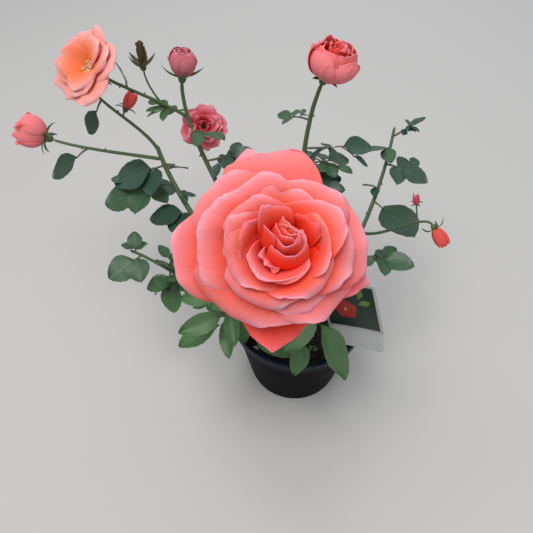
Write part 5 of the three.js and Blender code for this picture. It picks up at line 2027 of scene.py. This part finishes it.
@dataclass
class Foliage:
    """All the leaves: each spray grown by the seeded rule and carried on to finer twigs in its reach."""

    limbs: dict[str, Curve]
    blooms: list[Bloom]
    blades: dict[Tone, Sheets] = field(default_factory=dict)
    nodes: dict[Tone, list[str]] = field(default_factory=dict)
    stalks: Sheets = field(default_factory=Sheets)
    centres: list[tuple[Vector, float]] = field(default_factory=list)
    grid: tuple[np.ndarray, ...] = ()

    def build(self) -> None:
        """Grow every spray and dress the blades and stalks."""
        self.grid = flat_grid(*BLADE_CELLS)
        for tone in Tone:
            self.blades[tone] = Sheets()
            self.nodes[tone] = []
        stems = [self.grow_mass(mass, index + 1) for index, mass in enumerate(MASSES)]
        tree = self.limb_tree()
        for index, mass in enumerate(MASSES):
            self.thicken(mass, index + 1, stems[index], tree)
            self.nodes[mass.tone].append(mass.name)
        for tone in Tone:
            piece = self.blades[tone].build(f"{tone.name.lower()}_leaf_blades")
            finish_piece(piece, tone.value, "leaf", *self.nodes[tone])
        stalks = self.stalks.build("leaf_stalks")
        close_seams(stalks)
        finish_piece(stalks, STALK_SKIN, "leaf")

    def limb_tree(self) -> KDTree:
        """Gather places along every limb for nearness tests.

        Returns:
            The tree of places.
        """
        shares = [k / LIMB_MARKS for k in range(LIMB_MARKS + 1)]
        spots = [curve.at(share) for curve in self.limbs.values() for share in shares]
        tree = KDTree(len(spots))
        for index, spot in enumerate(spots):
            tree.insert(spot, index)
        tree.balance()
        return tree

    def grow_mass(self, mass: Mass, seed: int) -> list[Curve]:
        """Grow one spray as its solid has it.

        Args:
            mass: the spray.
            seed: the seed of its turns.

        Returns:
            The stems that finer twigs may leave.
        """
        room = SolidRoom(mass.name)
        chance = Seeded(seed)
        foot = self.limbs[mass.host].at(mass.share)
        tip = Vector(mass.tip)
        if mass.leaves == 1:
            return [self.grow_leaf(foot, tip, mass, SHOOT_RADIUS, chance, room)]
        fork = foot.lerp(tip, FORK_SHARE)
        way = (fork - foot).normalized()
        shoot = Curve((foot, fork + way))
        add_tube(self.stalks, shoot, SHOOT_RADIUS, SHOOT_RADIUS * 0.8, sides=8, steps=6, relief=0.1)
        stems = [shoot, self.grow_leaf(fork, tip, mass, RACHIS_RADIUS, chance, room)]
        span = (tip - fork).length
        level = SKY.cross(way).normalized()
        over = way.cross(level)
        for k in range(1, mass.leaves):
            turn = GOLDEN_ANGLE * (k + seed)
            start = shoot.at(1 - LEAF_STEP * k)
            out = level * math.cos(turn) + over * (LEAF_FLATTENING * math.sin(turn))
            end = start + way * (span * LEAF_RUN) + out * (span * LEAF_SPREAD)
            self.grow_leaf(start, end, mass, RACHIS_RADIUS, chance, room)
        return stems

    def thicken(self, mass: Mass, seed: int, stems: list[Curve], tree: KDTree) -> None:
        """Carry a spray on to finer twigs and smaller leaves inside the reach of its solid.

        Args:
            mass: the spray.
            seed: the seed of its turns.
            stems: the stems that the twigs leave.
            tree: the places along the limbs.
        """
        if mass.leaflets == 1:
            return
        stems = [stem for stem in stems if stem]
        if not stems:
            return
        low, high = (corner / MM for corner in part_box(mass.name))
        edge = Vector((EXTRA_REACH,) * 3)
        label = tuple(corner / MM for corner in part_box("plant_label"))
        room = OpenRoom(low - edge, high + edge, tree, self.blooms, label, self.centres)
        chance = Seeded(TWIG_SEED + seed)
        left = TWIGS_PER_LEAF * mass.leaves + MORE_TWIGS
        least, most = (share * mass.length for share in TWIG_REACH)
        for _ in range(TRIES):
            stem = stems[int(chance.next() * len(stems))]
            start = stem.at(mix(*TWIG_STARTS, chance.next()))
            tip = Vector([mix(low[k], high[k], chance.next()) for k in range(3)])
            small = replace(mass, length=mass.length * mix(*TWIG_SIZES, chance.next()), leaflets=3)
            if least < (tip - start).length < most:
                left -= bool(self.grow_leaf(start, tip, small, RACHIS_RADIUS * 0.9, chance, room))
            if not left:
                return

    def grow_leaf(
        self,
        start: Vector,
        tip: Vector,
        mass: Mass,
        thick: float,
        chance: Seeded,
        room: SolidRoom | OpenRoom,
    ) -> Curve | None:
        """Grow one compound leaf: an arching stalk, a leaflet at its end and pairs along it.

        Args:
            start: where the stalk starts.
            tip: where the end leaflet's tip is.
            mass: the spray.
            thick: the stalk's radius at its start.
            chance: the row of numbers that varies it.
            room: what tells which parts there is room for.

        Returns:
            The stalk's curve, or nothing where the leaf has no room.
        """
        reach = tip - start
        length = min(mass.length, LENGTH_SHARE * reach.length)
        sky = SKY + Vector((reach.x, reach.y, 0)).normalized() * SKY_LEAN
        end = tip - reach.normalized() * length
        knee = start.lerp(end, 0.5) + sky * ((start - end).length * STALK_ARCH)
        stalk = Curve((start, knee, end))
        bend = stalk.at(0.5)
        span = (end - bend).length
        blades, places = [], []

        def blade(back: float, turn: float, size: float) -> None:
            """Place one leaflet.

            Args:
                back: the distance back from the stalk's end.
                turn: the angle that it is turned aside by.
                size: its length before it varies.
            """
            outer = back < span
            first, last = (bend, end) if outer else (start, bend)
            share = 1 - (back % span) / span
            root = stalk.at(0.5 + 0.5 * share if outer else 0.5 * share)
            on_line = first.lerp(last, share)
            along = (last - first).normalized() if turn else reach.normalized()
            aside = along.cross(sky).normalized()
            along = along * math.cos(math.radians(turn)) + aside * math.sin(math.radians(turn))
            along = (along + sky * chance.spread(SKY_SPREAD)).normalized()
            up = (sky + aside * chance.spread(ROLL_SPREAD)).normalized()
            grown = size * (1 + chance.spread(SIZE_SPREAD))
            side = along.cross(up).normalized()
            rise = side.cross(along).normalized()
            blades.append(Blade(root, along, side, rise, grown))
            places.append(on_line + along * (grown * PROBE) - rise * (grown * BLADE_DROOP * PROBE**2))

        blade(LEAFLET_ROOT, 0, length + LEAFLET_ROOT)
        for pair in range((mass.leaflets - 1) // 2):
            back = length * (0.4 + 0.75 * mass.breadth) if pair else min(0.3 * length, 0.75 * span)
            size = length * (FIRST_PAIR - SMALLER_PAIR * pair)
            if back > LAST_PAIR * span:
                break
            blade(back, PAIR_ANGLE, size)
            blade(back, -PAIR_ANGLE, size)
        kept = room.holds(bend.lerp(end, 0.4), blades, places)
        if not any(kept):
            return None
        add_tube(self.stalks, stalk, thick, RACHIS_RADIUS * 0.8, sides=8, steps=12, relief=0.04)
        for item, place, held in zip(blades, places, kept):
            if held:
                self.add_blade(item, mass)
                self.centres.append((place, item.length))
        return stalk

    def add_blade(self, blade: Blade, mass: Mass) -> None:
        """Lay one leaflet with a finely toothed edge, a fold along its midrib and a drooping tip.

        Args:
            blade: the leaflet's place, directions and length.
            mass: the spray, for its breadth and green.
        """
        u, v, faces = self.grid
        root, length = blade.root, blade.length
        off = np.abs(u)
        edge = off > 0.9
        step = np.round(v * BLADE_CELLS[1]).astype(int)
        outline = np.sin(np.pi * np.clip((v - BLADE_FOOT) / (1 - BLADE_FOOT), 0, 1) ** 0.8) ** 0.66
        outline = np.where(v < BLADE_FOOT, 0.03, np.maximum(outline, 0.02))
        toothed = edge & (v < 0.97)
        teeth = np.where(toothed & (step % 2 == 1), TOOTH_OUT, 1.0)
        teeth = np.where(toothed & (step % 2 == 0) & (v > BLADE_FOOT), TOOTH_IN, teeth)
        wide = u * BLADE_WIDTH * mass.breadth * length * outline * teeth
        share = v + np.where(edge, 0.012, 0.0) * (v < 0.95)
        seed = root.x * 0.13 + root.y * 0.07
        wave = 0.014 * length * np.sin(v * 11 + seed) * off
        wave = wave + 0.012 * length * np.sin(v * 5 + 2 * seed) * u
        height = 0.07 * length * off**1.3 - BLADE_DROOP * length * share**2 + wave
        shape = np.array(root[:]) + np.outer(share * length, blade.along[:])
        shape = shape + np.outer(wide, blade.side[:]) + np.outer(height, blade.rise[:])
        self.blades[mass.tone].add(shape, faces, surface_uv(u, v))


# The view


@dataclass(frozen=True)
class Light:
    """One soft square light: its place and side in metres, its power in watts and its colour."""

    name: str
    place: Triple
    size: float
    power: float
    colour: Triple

    def hang(self) -> None:
        """Hang the light, looking at the middle of the plant."""
        lamp = bpy.data.lights.new(self.name, "AREA")
        lamp.size = self.size
        lamp.energy = self.power
        lamp.color = self.colour
        lit = bpy.data.objects.new(self.name, lamp)
        lit.location = self.place
        way = Vector((0, 0, PLANT_MIDDLE)) - Vector(self.place)
        lit.rotation_euler = way.to_track_quat("-Z", "Y").to_euler()
        bpy.context.scene.collection.objects.link(lit)


# The height in metres that the lights look at, and the lights.
PLANT_MIDDLE = 0.2
LIGHTS = (
    Light("key", (-0.4, -0.3, 1.9), 1.1, 23.0, (1.0, 0.985, 0.96)),
    Light("fill", (1.2, -0.7, 1.1), 1.4, 3.0, (0.95, 0.97, 1.0)),
    Light("back", (0.3, 1.4, 1.2), 1.0, 5.0, (0.94, 0.97, 1.0)),
)


@dataclass
class Studio:
    """The pale floor, the soft lights and the camera at the photograph's viewing angle."""

    camera_place: Triple = (-34.1, -315.4, 613.5)
    camera_tilt: float = 37.0
    lens: float = 36.07
    sensor: float = 36.0
    nearest: float = 0.01
    floor_size: float = 12.0
    floor_colour: Triple = (0.56, 0.55, 0.54)
    air_colour: Triple = (0.93, 0.96, 1.0)
    air_strength: float = 0.46

    def build(self) -> None:
        """Lay the floor and set the lights, the surroundings and the camera."""
        select_only()
        bpy.ops.mesh.primitive_plane_add(size=self.floor_size)
        floor = bpy.context.active_object
        floor.name = "studio_floor"
        paper = Nodes("studio_floor_paper")
        paper.set(Base_Color=(*self.floor_colour, 1.0), Roughness=0.85, Specular_IOR_Level=0.2)
        floor.data.materials.append(paper.material)
        for light in LIGHTS:
            light.hang()
        world = bpy.data.worlds.new("studio_air")
        world.use_nodes = True
        air = world.node_tree.nodes["Background"]
        air.inputs["Color"].default_value = (*self.air_colour, 1.0)
        air.inputs["Strength"].default_value = self.air_strength
        bpy.context.scene.world = world
        lens = bpy.data.cameras.new("view")
        lens.lens = self.lens
        lens.sensor_width = self.sensor
        lens.clip_start = self.nearest
        camera = bpy.data.objects.new("view", lens)
        camera.location = Vector(self.camera_place) * MM
        camera.rotation_euler = (math.radians(self.camera_tilt), 0, 0)
        bpy.context.scene.collection.objects.link(camera)
        bpy.context.scene.camera = camera
        bpy.context.scene.view_settings.view_transform = "Standard"


def main() -> None:
    """Build the pot, the plant and the studio in order."""
    logging.basicConfig(level=logging.INFO, format="%(message)s")
    blooms = {bloom.name: bloom for bloom in [large_bloom(), *small_blooms()]}
    limbs = {"stem_base": Curve((Vector((0, 0, SOIL_LEVEL)), Vector((0, 0, STOCK_TOP))))}
    for limb in LIMBS:
        limbs[limb.name] = limb.curve(limbs, blooms)
    Studio().build()
    Pot().build()
    Soil().build()
    Label().build()
    Wood(limbs).build()
    for bloom in blooms.values():
        bloom.build(limbs)
    Foliage(limbs, list(blooms.values())).build()


if __name__ == "__main__":
    main()
